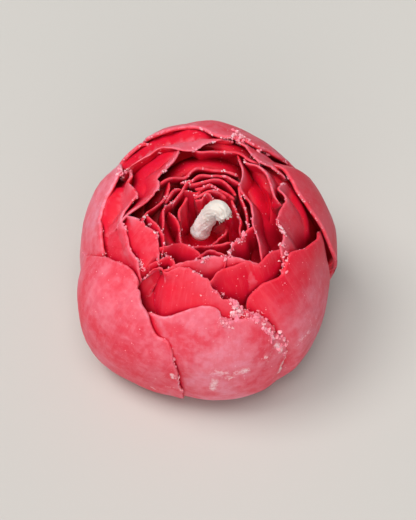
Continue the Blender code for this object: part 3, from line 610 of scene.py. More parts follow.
def guard_petal(seed, rough, backing, edge, root, swell, tuck=(), rise=(0, 0, 0, 0, 0)):
    """Outer and inner face of a petal that wraps the globe, and each point's distance from the rim."""
    columns, rows = GUARD_FACES
    rim = edge_path(edge, columns)
    here = globe(rim[:, 0], rim[:, 1])
    along = np.gradient(here, axis=0)
    along /= np.linalg.norm(along, axis=1, keepdims=True)
    inward = np.cross(along, globe_normal(rim[:, 0], rim[:, 1]))
    back = worn_back(walk_along(here), seed, rough)[:, None] * inward
    east = np.stack([np.cos(np.radians(rim[:, 0])), np.sin(np.radians(rim[:, 0])), np.zeros(columns + 1)], axis=-1)
    north = globe_step(rim[:, 0], rim[:, 1], 0, SHORT_WAY)
    radius = globe_section(rim[:, 0], rim[:, 1])[0]
    rim[:, 0] += np.degrees((back * east).sum(1) / radius)
    rim[:, 1] += (back * north).sum(1) / (north**2).sum(1)

    foot = root[0] + (root[1] - root[0]) * np.linspace(0, 1, columns + 1)[:, None]

    def up_to_rim(share):
        """Longitude and latitude at a share of the way from the foot to the rim."""
        return foot + (rim[:, :1] - foot) * share, FOOT_LATITUDE + (rim[:, 1:] - FOOT_LATITUDE) * share

    shares = np.linspace(0, 1, SECTION_STEPS)
    walked = np.array([walk_along(column) for column in globe(*up_to_rim(shares[None, :]))])
    climbed = walked[:, -1:] - rows_below_rim(walked[:, -1:], rows)
    up = np.array([np.interp(climbed[k], walked[k], shares) for k in range(columns + 1)])
    longitude, latitude = up_to_rim(up)
    span = (longitude - rim[:, 0].min()) / (rim[:, 0].max() - rim[:, 0].min())
    places = np.linspace(0, 1, len(swell))
    depth = np.zeros_like(latitude)
    for deep, full, start, shift in tuck:
        moved = longitude - shift * np.maximum(latitude, 0) / TUCK_SHIFT_LATITUDE
        depth += deep * smooth_step((moved - start) / (full - start))
    depth *= TUCK_AT_FOOT + (1 - TUCK_AT_FOOT) * smooth_step((latitude - FOOT_LATITUDE) / TUCK_FADE_LATITUDES)
    bulge = between(np.column_stack([places, swell]), span)[..., 0]
    bulge *= smooth_step((rim[:, 1:] - latitude) / SWELL_LATITUDES)
    lift = between(np.column_stack([places, rise]), span)[..., 0]
    lift *= risen(latitude, *RISE_LATITUDES)
    normal, ball = globe_normal(longitude, latitude), globe(longitude, latitude)
    above_foot = risen(latitude, *UNEVEN_LATITUDES)
    outer = ball + normal * (bulge - depth + waves(ball, WAX_WAVES, seed) * above_foot)[..., None]
    outer[..., 2] += lift
    thickness = RIM_THICKNESS + (GUARD_ROOT_THICKNESS - RIM_THICKNESS) * smooth_step((1 - up) / GUARD_ROOT_SHARE)
    near = distance_to(outer, outer[:, -1])
    thickness += backing[0] * smooth_step((near - GUARD_LIP) / backing[1]) + lip_change(near, GUARD_LIP)
    inner = outer - normal * thickness[..., None]
    return *rounded(outer, inner, near, GUARD_LIP), near


def inner_petal(seed, rough, edge, lean, length, corner, tuck, gap):
    """Outer and inner face of a petal that stands inside the bloom, and each point's distance from the rim."""
    columns, rows = INNER_FACES
    rim = edge_path(edge, columns)
    across = np.linspace(-1, 1, columns + 1)[:, None]
    radius, height = globe_section(rim[:, :1], rim[:, 1:])
    along_rim = walk_along(globe(rim[:, 0], rim[:, 1]))
    start = corner * np.abs(across) ** CORNER_POWER + worn_back(along_rim, seed, rough)[:, None]
    walked = start + rows_below_rim(length + SUNK_ROOT - start, rows)
    rim_lean = math.radians(lean[0])
    bend = math.radians(lean[1] - lean[0]) / length
    tilt = rim_lean + bend * walked
    radius = radius + (math.cos(rim_lean) - np.cos(tilt)) / bend
    height = height - (np.sin(tilt) - math.sin(rim_lean)) / bend
    opened = smooth_step(walked / OPENS_OVER)
    middle = (rim[0, 0] + rim[-1, 0]) / 2
    longitude = middle + (rim[:, :1] - middle) * (1 - INNER_TAPER * walked / length)
    radius = inside_the_guards(longitude, radius, height, gap * opened)
    dip = tuck[0] * smooth_step((-across - 1) / SIDE_TUCK_SHARE + 1)
    dip += tuck[1] * smooth_step((across - 1) / SIDE_TUCK_SHARE + 1)
    radius = radius - dip * opened
    wavy = INNER_UNEVEN * waves(around(longitude, radius, height), WAX_WAVES, seed)
    radius, height = radius + wavy * np.cos(tilt), height + wavy * np.sin(tilt)
    thickness = RIM_THICKNESS + (INNER_ROOT_THICKNESS - RIM_THICKNESS) * walked / length
    outer = around(longitude, radius, height)
    near = distance_to(outer, np.concatenate([outer[0], outer[:, -1], outer[-1]]))
    thickness = thickness + lip_change(near, INNER_LIP)
    inner = around(longitude, radius - thickness * np.cos(tilt), height - thickness * np.sin(tilt))
    return *rounded(outer, inner, near, INNER_LIP), near


def ledge_faces():
    """Upper and lower face of the wax between the guard petals and the next ones."""
    table = np.array(LEDGE, float)
    longitude = np.linspace(table[0, 0], table[-1, 0], LEDGE_POINTS[0])[:, None]
    latitude = np.linspace(*LEDGE_LATITUDES, LEDGE_POINTS[1])[None, :]
    longitude, latitude = np.broadcast_arrays(longitude, latitude)
    start, depth = (np.interp(longitude, table[:, 0], table[:, k]) for k in (1, 2))
    depth = depth + LEDGE_DEEPENS[0] * smooth_step((latitude - start) / LEDGE_DEEPENS[1])
    depth = depth + LEDGE_SINKS[0] * smooth_step((start - latitude) / LEDGE_SINKS[1])
    ball, normal = globe(longitude, latitude), globe_normal(longitude, latitude)
    upper = ball - normal * (depth - LEDGE_UNEVEN * waves(ball, WAX_WAVES, LEDGE_SEED))[..., None]
    return upper, upper - normal * LEDGE_THICKNESS


def closed_mesh(name, points, faces):
    """A mesh from points in millimetres, with its faces turned outwards."""
    mesh = bpy.data.meshes.new(name)
    mesh.from_pydata((points * MM).tolist(), [], faces)
    shape = bmesh.new()
    shape.from_mesh(mesh)
    bmesh.ops.recalc_face_normals(shape, faces=shape.faces)
    shape.to_mesh(mesh)
    shape.free()
    return mesh


def add_object(name, mesh, collection=None):
    added = bpy.data.objects.new(name, mesh)
    if collection is None:
        collection = bpy.context.scene.collection
    collection.objects.link(added)
    return added


def sheet_mesh(name, outer, inner):
    """A closed mesh between two grids of points, split into triangles alike on both faces."""
    columns, rows = outer.shape[:2]
    grid = np.arange(columns * rows).reshape(columns, rows)
    a, b, c, d = grid[:-1, :-1], grid[1:, :-1], grid[1:, 1:], grid[:-1, 1:]
    front = np.concatenate([np.stack(corners, axis=-1).reshape(-1, 3) for corners in ((a, b, c), (a, c, d))])
    border = np.concatenate([grid[:-1, 0], grid[-1, :-1], grid[:0:-1, -1], grid[0, :0:-1]])
    after, back = np.roll(border, -1), grid.size
    edge = [np.stack([after, border, border + back], axis=-1), np.stack([after, border + back, after + back], axis=-1)]
    faces = np.concatenate([front, front[:, ::-1] + back, *edge])
    return closed_mesh(name, np.concatenate([outer.reshape(-1, 3), inner.reshape(-1, 3)]), faces.tolist())


def lathe_mesh(name, section, sides):
    """A solid turned about the axis from (radius, height) rows whose last row lies on the axis."""
    longitudes = np.arange(sides) * 360 / sides
    rings = [around(longitudes, np.full(sides, radius), np.full(sides, height)) for radius, height in section[:-1]]
    grid = np.arange(len(rings) * sides).reshape(-1, sides)
    before = np.roll(grid, 1, axis=1)
    faces = np.stack([before[:-1], grid[:-1], grid[1:], before[1:]], axis=-1).reshape(-1, 4).tolist()
    faces += [[a, b, grid.size] for a, b in zip(before[-1].tolist(), grid[-1].tolist())]
    faces.append(grid[0, ::-1].tolist())
    return closed_mesh(name, np.vstack([*rings, [(0, 0, section[-1][1])]]), faces)


def keep_largest_body(subject):
    """Drops the sealed hollows and loose scraps that fusing leaves, all but the body with the most faces."""
    shape = bmesh.new()
    shape.from_mesh(subject.data)
    bodies = []
    left = set(shape.faces)
    while left:
        body = []
        waiting = [left.pop()]
        while waiting:
            face = waiting.pop()
            body.append(face)
            for neighbour in {other for edge in face.edges for other in edge.link_faces} & left:
                left.remove(neighbour)
                waiting.append(neighbour)
        bodies.append(body)
    largest = max(bodies, key=len)
    drop = [face for body in bodies if body is not largest for face in body]
    bmesh.ops.delete(shape, geom=drop, context="FACES")
    shape.to_mesh(subject.data)
    shape.free()


def boolean(subject, operation, operand):
    """Joins a collection to the subject, or cuts an object out of it."""
    step = subject.modifiers.new(operation.lower(), "BOOLEAN")
    step.operation = operation
    step.solver = "MANIFOLD"
    if isinstance(operand, bpy.types.Collection):
        step.operand_type = "COLLECTION"
        step.collection = operand
    else:
        step.object = operand
    graph = bpy.context.evaluated_depsgraph_get()
    mesh = bpy.data.meshes.new_from_object(subject.evaluated_get(graph))
    subject.modifiers.clear()
    subject.data = mesh


class Sheet:
    """A petal's closed mesh, with what the wax needs to know at each of its points."""

    def __init__(self, number, name, guard):
        seed, columns = 7 * number + 3, (GUARD_FACES if guard else INNER_FACES)[0] + 1
        places, wear = zip(*WEAR.get(name, [(0, USUAL_WEAR), (1, USUAL_WEAR)]))
        self.wear = np.interp(np.linspace(0, 1, columns), places, wear)
        if guard:
            backing = BACKING.get(name, (0.0, 1.0))
            outer, inner, near = guard_petal(seed, self.wear, backing, **GUARD_PETALS[name])
        else:
            lean, length, corner, tuck, edge = INNER_PETALS[name]
            gap = GAPS.get(name, GUARD_GAP)
            outer, inner, near = inner_petal(seed, self.wear, edge, lean, length, corner, tuck, gap)
        self.name = name
        self.mesh = sheet_mesh(name, outer, inner)
        self.rim = (outer[:, -1] + inner[:, -1]) / 2
        along = np.broadcast_to(walk_along(outer[:, outer.shape[1] // 2])[:, None], near.shape)
        self.points = np.concatenate([outer.reshape(-1, 3), inner.reshape(-1, 3)])
        faces = (PALENESS.get(name, USUAL_PALENESS), INNER_FACE_PALENESS)
        self.values = {
            "rim": np.minimum(np.tile(near.ravel(), 2), FAR_FROM_RIM),
            "outside": np.concatenate([paleness(levels, near).ravel() for levels in faces]),
            "along": np.tile(along.ravel(), 2) + STREAKS_APART * number,
        }


def make_casting(sheets):
    """The whole casting as one fused solid."""
    petals = bpy.data.collections.new("petals")
    bpy.context.scene.collection.children.link(petals)
    for sheet in sheets:
        add_object(sheet.name, sheet.mesh, petals)
    add_object("ledge", sheet_mesh("ledge", *ledge_faces()), petals)
    bed = add_object("bed", lathe_mesh("bed", fine_curve(BED_SECTION, LATHE_STEPS).tolist(), CORE_FACES), petals)
    for vertex in bed.data.vertices:
        vertex.co.z += BED_LEAN * (vertex.co.y - BED_RIGHT_SHARE * max(vertex.co.x, 0.0))
    pool = add_object("pool", lathe_mesh("pool", POOL_SECTION, ROUND_SIDES), petals)
    casting = add_object("wax_casting", lathe_mesh("core", fine_curve(CORE_SECTION, LATHE_STEPS).tolist(), CORE_FACES))
    channel_section = [(CHANNEL_RADIUS, CUTS_FROM), (CHANNEL_RADIUS, OPEN_CHANNEL_TOP), (0, OPEN_CHANNEL_TOP)]
    channel = add_object("channel", lathe_mesh("channel", channel_section, ROUND_SIDES))
    ground_section = [(GROUND_RADIUS, CUTS_FROM), (GROUND_RADIUS, 0), (0, 0)]
    ground = add_object("ground", lathe_mesh("ground", ground_section, GROUND_SIDES))
    pool.location = channel.location = (WICK_X * MM, WICK_Y * MM, 0)
    bpy.context.view_layer.update()
    boolean(casting, "UNION", petals)
    boolean(casting, "DIFFERENCE", channel)
    boolean(casting, "DIFFERENCE", ground)
    for used in [*petals.objects, channel, ground]:
        bpy.data.objects.remove(used)
    bpy.data.collections.remove(petals)
    keep_largest_body(casting)
    return casting


def point_values(mesh, name, values):
    """Stores one number for each vertex, which a material reads by name."""
    layer = mesh.attributes.new(name, "FLOAT", "POINT")
    layer.data.foreach_set("value", np.ascontiguousarray(values, np.float32))


def vertex_places(mesh):
    """A mesh's vertices, in millimetres."""
    places = np.empty(3 * len(mesh.vertices), np.float32)
    mesh.vertices.foreach_get("co", places)
    return places.reshape(-1, 3).astype(float) / MM


def surface_tree(mesh):
    """A mesh's faces in millimetres, to find the nearest place on it or where a ray meets it."""
    return BVHTree.FromPolygons(vertex_places(mesh).tolist(), [face.vertices[:] for face in mesh.polygons])


def rubbed(places):
    """How strongly each place on the casting is rubbed pale."""
    total = np.zeros(len(places))
    for lon_0, lat_0, lon_1, lat_1, width, strength in RUBS:
        share = np.linspace(0, 1, RUB_STEPS)
        line = globe(lon_0 + (lon_1 - lon_0) * share, lat_0 + (lat_1 - lat_0) * share)
        close = np.nonzero(np.linalg.norm(places - line[RUB_STEPS // 2], axis=1) < RUB_REACH)[0]
        reach = distance_to(places[close], line)
        total[close] = np.maximum(total[close], strength * np.exp(-((reach / width) ** 2)))
    return total


def closed_in(mesh):
    """How far each vertex is closed in by the wax around it, from 0 in the open to 1 deep in a hollow; the wax material
    paints shade with it.
    """
    places, tree = vertex_places(mesh), surface_tree(mesh)
    rays = [Vector(direction) for direction in DIRECTIONS]
    hidden = np.zeros(len(places))
    for k, vertex in enumerate(mesh.vertices):
        normal = vertex.normal
        start = Vector(places[k]) + normal * HOLLOW_START
        blocked = weights = 0.0
        for turn in range(HOLLOW_RAYS):
            ray = rays[(HOLLOW_RAYS * k + turn) % len(rays)]
            weight = ray.dot(normal)
            away = tree.ray_cast(start, ray if weight > 0 else -ray, HOLLOW_REACH)[3]
            blocked += abs(weight) * (0.0 if away is None else 1 - 0.5 * away / HOLLOW_REACH)
            weights += abs(weight)
        hidden[k] = blocked / weights
    edges = np.empty(2 * len(mesh.edges), np.int32)
    mesh.edges.foreach_get("vertices", edges)
    here, there = edges[0::2], edges[1::2]
    count = 1 + np.bincount(edges, minlength=len(places))
    for _ in range(HOLLOW_BLURS):
        summed = np.bincount(here, hidden[there], len(places)) + np.bincount(there, hidden[here], len(places))
        hidden = (hidden + summed) / count
    return hidden


def mark_wax(mesh, sheets):
    """Tells the wax, at each vertex, how far a rim is, whether it is outside, and where it lies along its petal."""
    points = np.concatenate([sheet.points for sheet in sheets])
    tree = KDTree(len(points))
    for k, point in enumerate(points.tolist()):
        tree.insert(point, k)
    tree.balance()
    places = vertex_places(mesh)
    found = [tree.find(place) for place in places.tolist()]
    nearest = np.array([hit[1] for hit in found])
    on_petal = np.array([hit[2] for hit in found]) < ON_PETAL
    for name, elsewhere in (("rim", FAR_FROM_RIM), ("outside", 0.0), ("along", 0.0)):
        values = np.concatenate([sheet.values[name] for sheet in sheets])[nearest]
        point_values(mesh, name, np.where(on_petal, values, elsewhere))
    point_values(mesh, "rub", rubbed(places))
    point_values(mesh, "closed", closed_in(mesh))


def crumb_shape(chance, size):
    """Vertices and faces of one small lump of wax."""
    shape = bmesh.new()
    bmesh.ops.create_icosphere(shape, subdivisions=2 if size > LARGE_CRUMB else 1, radius=1.0)
    points = np.array([vertex.co[:] for vertex in shape.verts])
    faces = [[vertex.index for vertex in face.verts] for face in shape.faces]
    shape.free()
    points = points * (1 + noise_at(points * 1.5 + chance.uniform(0, 90, 3), 1.0, 5))[:, None]
    turn = np.linalg.qr(chance.normal(size=(3, 3)))[0]
    return (points * chance.uniform(0.5, 1.5, 3)) @ turn * size, faces


def make_crumbs(sheets, casting):
    """Crumbs of wax that cling to the worn rims."""
    chance = np.random.default_rng(5)
    tree = surface_tree(casting.data)
    seats = []
    for sheet in sheets:
        lengths = np.linalg.norm(np.diff(sheet.rim, axis=0, prepend=sheet.rim[:1]), axis=1)
        clumps = CLUMPS * np.maximum(noise_at(sheet.rim, CLUMP_SIZE, 97) + 0.02, 0)
        expected = lengths * CRUMBS_PER_MM * sheet.wear**1.5 * clumps
        for place, wear, many in zip(sheet.rim, sheet.wear, expected):
            for _ in range(chance.poisson(many)):
                size = chance.uniform(*CRUMB_RADIUS) + CRUMB_GROWTH * chance.random() ** 3 * min(wear, GROWTH_WEAR)
                scatter = CRUMB_SCATTER[0] + CRUMB_SCATTER[1] * max(wear - SCATTER_WEAR, 0)
                seats.append((place + chance.normal(0, scatter, 3), size))
    for middle, many, spread, largest in CRUMB_PATCHES:
        for _ in range(round(many * PATCH_FULLNESS)):
            size = CRUMB_RADIUS[0] + (largest - CRUMB_RADIUS[0]) * chance.random() ** 3
            seats.append((np.array(middle) + chance.normal(0, PATCH_TIGHTNESS * spread, 3), size))
    points, faces = [], []
    count = 0
    for place, size in seats:
        hit, normal, _, away = tree.find_nearest(place.tolist())
        if away > CRUMB_REACH or hit.z < LOWEST_CRUMB:
            continue
        shape, sides = crumb_shape(chance, size)
        points.append(shape + (np.array(hit) + np.array(normal) * size * CRUMB_SEAT))
        faces += [[count + corner for corner in side] for side in sides]
        count += len(shape)
    return add_object("wax_crumbs", closed_mesh("wax_crumbs", np.concatenate(points), faces))


def wick_line(step):
    """The wick's axis where it shows, and how far along it each point lies."""
    dense = fine_curve(WICK_PATH)
    walked = walk_along(dense)
    stops = np.linspace(0, walked[-1], round(walked[-1] / step) + 1)
    return at_stops(dense, walked, stops), stops


def frames_along(centres):
    """Forward, across and up directions at each centre, without twist."""
    forward = np.gradient(centres, axis=0)
    forward /= np.linalg.norm(forward, axis=1, keepdims=True)
    across = np.zeros_like(forward)
    side = np.array([1.0, 0.0, 0.0])
    for k in range(len(centres)):
        side = side - forward[k] * side.dot(forward[k])
        side /= np.linalg.norm(side)
        across[k] = side
    return forward, across, np.cross(forward, across)


def tube_arrays(centres, radii, first=0):
    """Points and faces of a closed tube, with one radius for each ring and side."""
    sides = radii.shape[1]
    forward, across, up = frames_along(centres)
    angle = 2 * math.pi * np.arange(sides) / sides
    spokes = across[:, None] * np.cos(angle)[None, :, None] + up[:, None] * np.sin(angle)[None, :, None]
    rings = centres[:, None] + spokes * radii[..., None]
    low_end = centres[0] - forward[0] * END_DOME * radii[0].mean()
    high_end = centres[-1] + forward[-1] * END_DOME * radii[-1].mean()
    points = np.concatenate([rings.reshape(-1, 3), [low_end, high_end]])
    grid = np.arange(rings.shape[0] * sides).reshape(-1, sides) + first
    after = np.roll(grid, -1, axis=1)
    faces = np.stack([grid[:-1], after[:-1], after[1:], grid[1:]], axis=-1).reshape(-1, 4).tolist()
    low, high = first + len(points) - 2, first + len(points) - 1
    faces += [[low, b, a] for a, b in zip(grid[0].tolist(), after[0].tolist())]
    faces += [[high, a, b] for a, b in zip(grid[-1].tolist(), after[-1].tolist())]
    return points, faces


def add_cotton(name, points, faces, fibre, length):
    """Adds a piece of the wick, with where its points lie round the cord and along it."""
    piece = add_object(name, closed_mesh(name, points, faces))
    point_values(piece.data, "fibre", fibre)
    point_values(piece.data, "length", length)
    return piece


def make_wick():
    """The cord from its foot in the channel to its bent tip."""
    shown, walked = wick_line(WICK_RING_STEP)
    straight = np.linspace(WICK_START, WICK_SHOWS - WICK_RING_STEP, HIDDEN_RINGS)
    column = np.stack([np.full(HIDDEN_RINGS, WICK_X), np.full(HIDDEN_RINGS, WICK_Y), straight], axis=-1)
    height = np.concatenate([straight - WICK_SHOWS, walked])[:, None]
    angle = 2 * math.pi * np.arange(WICK_SIDES)[None, :] / WICK_SIDES
    laid = angle - 2 * math.pi * height / WICK_LAY
    open_part = smooth_step((height + 0.5) / 2)
    tip = smooth_step((height - walked[-1] + FRAYED) / FRAYED)
    skin = np.stack(np.broadcast_arrays(WICK_RADIUS * np.cos(angle), WICK_RADIUS * np.sin(angle), height), axis=-1)
    ply = np.abs(np.sin(WICK_PLIES * laid / 2)) ** 0.7
    yarn = np.sin(YARNS_ROUND * laid + 2.5 * noise_at(skin, 2.2, 61)) * (0.5 + 0.5 * noise_at(skin, 1.3, 62))
    radii = WICK_RADIUS - PLY_RELIEF * (1 - ply) * open_part + YARN_RELIEF * yarn * open_part
    radii = radii + (WICK_FULLNESS + 0.17 * noise_at(skin, 1.7, 63) + 0.15 * noise_at(skin, 0.7, 64)) * open_part
    radii = radii + FOOT_FLARE * open_part * smooth_step(1 - height / FOOT_FLARE_HEIGHT)
    radii = radii + tip * (0.30 * noise_at(skin, 1.1, 65) - 0.10)
    points, faces = tube_arrays(np.vstack([column, shown]), radii)
    fibre = np.concatenate([(WICK_RADIUS * laid).ravel(), [0.0, 0.0]])
    length = np.concatenate([np.broadcast_to(height, laid.shape).ravel(), [straight[0] - WICK_SHOWS, walked[-1]]])
    return add_cotton("wick_cord", points, faces, fibre, length)


def make_fibres():
    """Yarn ends that stand out of the wick's frayed tip, and loose hairs along its sides."""
    chance = np.random.default_rng(21)
    centres, walked = wick_line(0.2)
    forward, across, up = frames_along(centres)
    points, faces, fibre, length = [], [], [], []

    def add_fibre(k, angle, start, forward_by, out_by, radius, bow, rings, sides):
        ahead, away, thick = (chance.uniform(*bounds) for bounds in (forward_by, out_by, radius))
        bow = chance.normal(0, bow)
        out = across[k] * math.cos(angle) + up[k] * math.sin(angle)
        side = np.cross(forward[k], out)
        share = np.linspace(0, 1, rings)[:, None]
        line = centres[k] + out * start + forward[k] * ahead * share + out * away * share**1.5
        line = line + side * bow * np.sin(share * math.pi * chance.uniform(0.6, 1.4))
        line = line + 0.12 * ahead * np.stack([noise_at(line, 0.8, seed) for seed in (71, 72, 73)], axis=-1)
        radii = thick * (1 - 0.45 * share**3) * np.ones((1, sides))
        radii = radii * (1 + 0.18 * chance.normal(size=radii.shape))
        shape, sides_made = tube_arrays(line, radii, sum(map(len, points)))
        points.append(shape)
        faces.extend(sides_made)
        fibre.append(np.full(len(shape), chance.uniform(0, 9)))
        length.append(np.full(len(shape), walked[k]))

    last = len(centres) - 1
    for n in range(YARN_ENDS):
        angle = 2 * math.pi * n / YARN_ENDS + chance.normal(0, 0.15)
        add_fibre(last - chance.integers(2, 7), angle, chance.uniform(*END_STARTS), *END_SHAPE)
    for _ in range(LOOSE_HAIRS):
        k = chance.integers(8, last)
        add_fibre(k, chance.uniform(0, 2 * math.pi), HAIR_STARTS, *HAIR_SHAPE)
    return add_cotton("wick_fibres", np.concatenate(points), faces, np.concatenate(fibre), np.concatenate(length))


class Number:
    """A number that a node gives, so that node maths reads as plain sums."""

    def __init__(self, nodes, socket):
        self.nodes = nodes
        self.socket = socket

    def __add__(self, other):
        return self.nodes.maths("ADD", self, other)

    def __mul__(self, other):
        return self.nodes.maths("MULTIPLY", self, other)

    def __sub__(self, other):
        return self.nodes.maths("SUBTRACT", self, other)

    def __rsub__(self, other):
        return self.nodes.maths("SUBTRACT", other, self)


class Nodes:
    """A material's node tree, with short calls that add nodes and join them."""

    def __init__(self, name):
        self.material = bpy.data.materials.new(name)
        self.material.use_nodes = True
        self.tree = self.material.node_tree

    def add(self, kind, inputs=(), **settings):
        made = self.tree.nodes.new(kind)
        for key, value in settings.items():
            setattr(made, key, value)
        for key, value in dict(inputs).items():
            self.put(made.inputs[key], value)
        return made

    def put(self, socket, value):
        if isinstance(value, Number):
            value = value.socket
        if isinstance(value, bpy.types.NodeSocket):
            self.tree.links.new(value, socket)
        else:
            socket.default_value = value

    def shade(self, **sockets):
        """Joins or sets the shader's sockets, with _ for spaces in their names, and gives the material."""
        shader = self.tree.nodes["Principled BSDF"]
        for name, value in sockets.items():
            self.put(shader.inputs[name.replace("_", " ")], value)
        return self.material

    def maths(self, operation, a, b, clamp=False):
        made = self.add("ShaderNodeMath", {0: a, 1: b}, operation=operation, use_clamp=clamp)
        return Number(self, made.outputs[0])

    def ramp(self, value, low, high):
        """0 at low, 1 at high, smooth between."""
        made = self.add("ShaderNodeMapRange", {"Value": value, "From Min": low, "From Max": high},
                        interpolation_type="SMOOTHSTEP", clamp=True)
        return Number(self, made.outputs[0])

    def noise(self, place, scale, detail, rough, distortion=0.0):
        made = self.add("ShaderNodeTexNoise", {"Vector": place, "Scale": scale, "Detail": detail, "Roughness": rough,
                                               "Distortion": distortion})
        return Number(self, made.outputs["Fac"])

    def lines(self, across, along, *settings):
        """Noise drawn out into lines, from numbers across them and along them."""
        place = self.add("ShaderNodeCombineXYZ", {0: across, 1: along}).outputs[0]
        return self.noise(place, 1.0, *settings)

    def specks(self, place, scale, channel, chosen, size):
        """Round specks in some of the cells that space is split into."""
        cells = self.add("ShaderNodeTexVoronoi", {"Vector": place, "Scale": scale, "Randomness": 1.0}).outputs
        lot = self.add("ShaderNodeSeparateColor", {0: cells["Color"]}).outputs[channel]
        return (1.0 - self.ramp(cells["Distance"], *size)) * self.ramp(lot, *chosen)

    def mix(self, share, a, b):
        made = self.add("ShaderNodeMix", {0: share, 6: a, 7: b}, data_type="RGBA", clamp_factor=True)
        return made.outputs[2]

    def bump(self, strength, distance, height):
        return self.add("ShaderNodeBump", {"Strength": strength, "Distance": distance, "Height": height}).outputs[0]

    def stored(self, name):
        return Number(self, self.add("ShaderNodeAttribute", attribute_name=name).outputs["Fac"])

    def place_mm(self):
        """Where a point lies on the object, in millimetres."""
        local = self.add("ShaderNodeTexCoord").outputs["Object"]
        return self.add("ShaderNodeVectorMath", {0: local, 3: 1000.0}, operation="SCALE").outputs[0]


def wax_material():
    """Red translucent wax: darker with painted shade where it is closed in, frosted in the open, pale at its rims, with
    specks and rubs.
    """
    n = Nodes("red_wax")
    place = n.place_mm()
    rim, outside, closed = n.stored("rim"), n.stored("outside"), n.stored("closed")
    broad = n.noise(place, 0.10, 3.0, 0.55)
    middle = n.noise(place, 0.45, 4.0, 0.6)
    fine = n.noise(place, 2.2, 4.0, 0.65)

    # Bloom and streaks are kept off where the wax is closed in: partly the bloom that forms only on open wax, partly
    # painted shade that keeps the hollows dark red.
    opened = 1.0 - n.ramp(closed, 0.15, 0.60)
    clouds = n.ramp(broad, 0.38, 0.62) * 0.6 + n.ramp(middle, 0.38, 0.66) * 0.4
    frost = outside * (clouds * 0.34 + 0.09) * opened
    ragged = rim + (fine - 0.5) * 1.6
    at_rim = (1.0 - n.ramp(ragged, 0.05, 0.75)) * n.ramp(middle, 0.25, 0.60)
    frost = n.maths("ADD", frost, at_rim * (outside * 0.12 + 0.07), clamp=True)
    # Painted shade: the red darkens towards a near-black red where the wax is closed in, standing in for the shade in
    # the hollows.
    red = n.mix(n.ramp(closed, 0.44, 0.86), WAX_RED, WAX_PAINTED_SHADE)
    colour = n.mix(frost, red, WAX_FROST)

    streak = n.ramp(n.lines(n.stored("along") * 1.1, rim * 0.12, 3.0, 0.6, 0.8), 0.48, 0.75) * opened
    colour = n.mix(streak * 0.06, colour, WAX_STREAK)

    torn = n.noise(place, 1.1, 5.0, 0.8, 0.4)
    chalk = n.ramp(n.stored("rub") * 0.55 + torn, 0.72, 1.03)
    colour = n.mix(chalk * 0.80, colour, WAX_CHALK)

    speck = n.specks(place, 0.55, 0, (0.62, 0.66), (0.05, 0.11))
    grain = n.specks(place, 1.6, 1, (0.80, 0.84), (0.08, 0.18))
    white = n.maths("MAXIMUM", speck, grain * 0.6)
    colour = n.mix(white * 0.60, colour, WAX_SPECK)

    height = middle * 0.6 + fine * 0.26 + white * 0.35 + chalk * 0.15 + streak * 0.05
    return n.shade(
        Base_Color=colour, Roughness=frost * 0.28 + 0.46, Normal=n.bump(0.8, 0.0003, height), Subsurface_Weight=1.0,
        Subsurface_Radius=(1.0, 0.35, 0.30), Subsurface_Scale=0.0006, Specular_IOR_Level=0.2, IOR=1.44)


def crumb_material():
    """Crumbled wax: paler than the petals, and rough."""
    n = Nodes("crumbled_wax")
    place = n.place_mm()
    tone = n.noise(place, 0.5, 3.0, 0.6)
    fine = n.noise(place, 4.0, 3.0, 0.6)
    return n.shade(
        Base_Color=n.mix(n.ramp(tone, 0.42, 0.72), CRUMB_RED, CRUMB_PALE), Roughness=fine * 0.2 + 0.5,
        Normal=n.bump(0.7, 0.0001, fine), Subsurface_Weight=1.0, Subsurface_Radius=(1.0, 0.8, 0.75),
        Subsurface_Scale=0.00012, Specular_IOR_Level=0.3, IOR=1.44)


def cotton_material(name, depth):
    """Undyed cotton under a thin coat of wax, stained pink where red wax has soaked in, with painted light on its lower
    part, which the eye shades, and painted shade on its lit tip; light goes in to a depth.
    """
    n = Nodes(name)
    place = n.place_mm()
    length = n.stored("length")
    hair = n.lines(n.stored("fibre") * 4.5, length * 0.5, 4.0, 0.7, 0.4)
    soaked = n.ramp(n.noise(place, 0.35, 3.0, 0.6), 0.40, 0.66) * (1.0 - n.ramp(length, 3.0, 11.0))
    # Painted light and shade: brighter low on the wick, where the eye shades it, and darker at the lit tip.
    painted_light_to_shade = n.mix(n.ramp(length, 4.0, 9.5), COTTON_LOW_PAINTED_LIGHT, COTTON_TIP_PAINTED_SHADE)
    colour = n.mix(n.ramp(hair, 0.7, 0.3) * 0.22, painted_light_to_shade, COTTON_HAIR)
    colour = n.mix(soaked * 0.28, colour, COTTON_PINK)
    height = hair + n.noise(place, 3.0, 3.0, 0.6) * 0.5
    return n.shade(
        Base_Color=colour, Roughness=0.72 - soaked * 0.25, Normal=n.bump(0.8, 0.0002, height), Subsurface_Weight=1.0,
        Subsurface_Radius=(1.0, 0.85, 0.8), Subsurface_Scale=depth, Sheen_Weight=0.45, Sheen_Roughness=0.6)


def add_floor():
    shape = bmesh.new()
    bmesh.ops.create_grid(shape, x_segments=1, y_segments=1, size=FLOOR_SIZE)
    mesh = bpy.data.meshes.new("floor")
    shape.to_mesh(mesh)
    shape.free()
    floor = add_object("floor", mesh)
    floor.location.z = -FLOOR_DROP
    material = Nodes("pale_floor").shade(Base_Color=FLOOR_COLOUR, Roughness=1.0, Specular_IOR_Level=0.0)
    floor.data.materials.append(material)


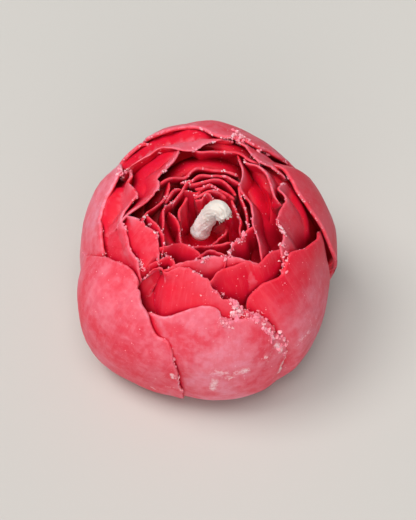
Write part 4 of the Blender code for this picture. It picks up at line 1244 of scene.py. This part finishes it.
def add_camera():
    tilt = math.radians(VIEW_ELEVATION)
    camera = add_object("camera", bpy.data.cameras.new("camera"))
    camera.location = Vector(VIEW_TARGET) + VIEW_DISTANCE * Vector((0, -math.cos(tilt), math.sin(tilt)))
    camera.rotation_euler = (math.pi / 2 - tilt, 0, 0)
    camera.data.lens = VIEW_LENS
    camera.data.sensor_width = 36.0
    camera.data.clip_start = 0.01
    bpy.context.scene.camera = camera


def add_lights():
    for name, (azimuth, elevation, strength, width) in LAMPS.items():
        light = bpy.data.lights.new(name, "SUN")
        light.energy = strength
        light.color = LAMP_COLOUR
        light.angle = math.radians(width)
        turn, lift = math.radians(azimuth), math.radians(elevation)
        toward = Vector((math.sin(turn) * math.cos(lift), math.cos(turn) * math.cos(lift), math.sin(lift)))
        add_object(name, light).rotation_euler = toward.to_track_quat("Z", "Y").to_euler()
    world = bpy.data.worlds.new("studio")
    world.use_nodes = True
    sky = world.node_tree.nodes["Background"].inputs
    sky["Color"].default_value = SKY_COLOUR
    sky["Strength"].default_value = SKY_STRENGTH
    bpy.context.scene.world = world
    bpy.context.scene.view_settings.view_transform = "Standard"


def dress(piece, material, node=None):
    """Gives a piece its place, its wax or cotton, hangs it on the root body, and hides the CAD solid that it stands
    for.
    """
    piece.location = (AXIS_X * MM, AXIS_Y * MM, 0)
    piece.data.materials.clear()
    piece.data.materials.append(material)
    for face in piece.data.polygons:
        face.use_smooth = True
    piece.data.set_sharp_from_angle(angle=math.radians(HARD_ANGLE))
    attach(piece, "root")
    if node:
        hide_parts(node)


def main():
    add_camera()
    add_lights()
    add_floor()
    named = [(name, True) for name in GUARD_PETALS] + [(name, False) for name in INNER_PETALS]
    sheets = [Sheet(number, *row) for number, row in enumerate(named)]
    casting = make_casting(sheets)
    mark_wax(casting.data, sheets)
    crumbs = make_crumbs(sheets, casting)
    dress(casting, wax_material(), "wax_bloom")
    dress(crumbs, crumb_material())
    dress(make_wick(), cotton_material("waxed_cotton", 0.0012), "wick")
    dress(make_fibres(), cotton_material("cotton_fibre", 0.00008))
    bpy.context.view_layer.update()


main()
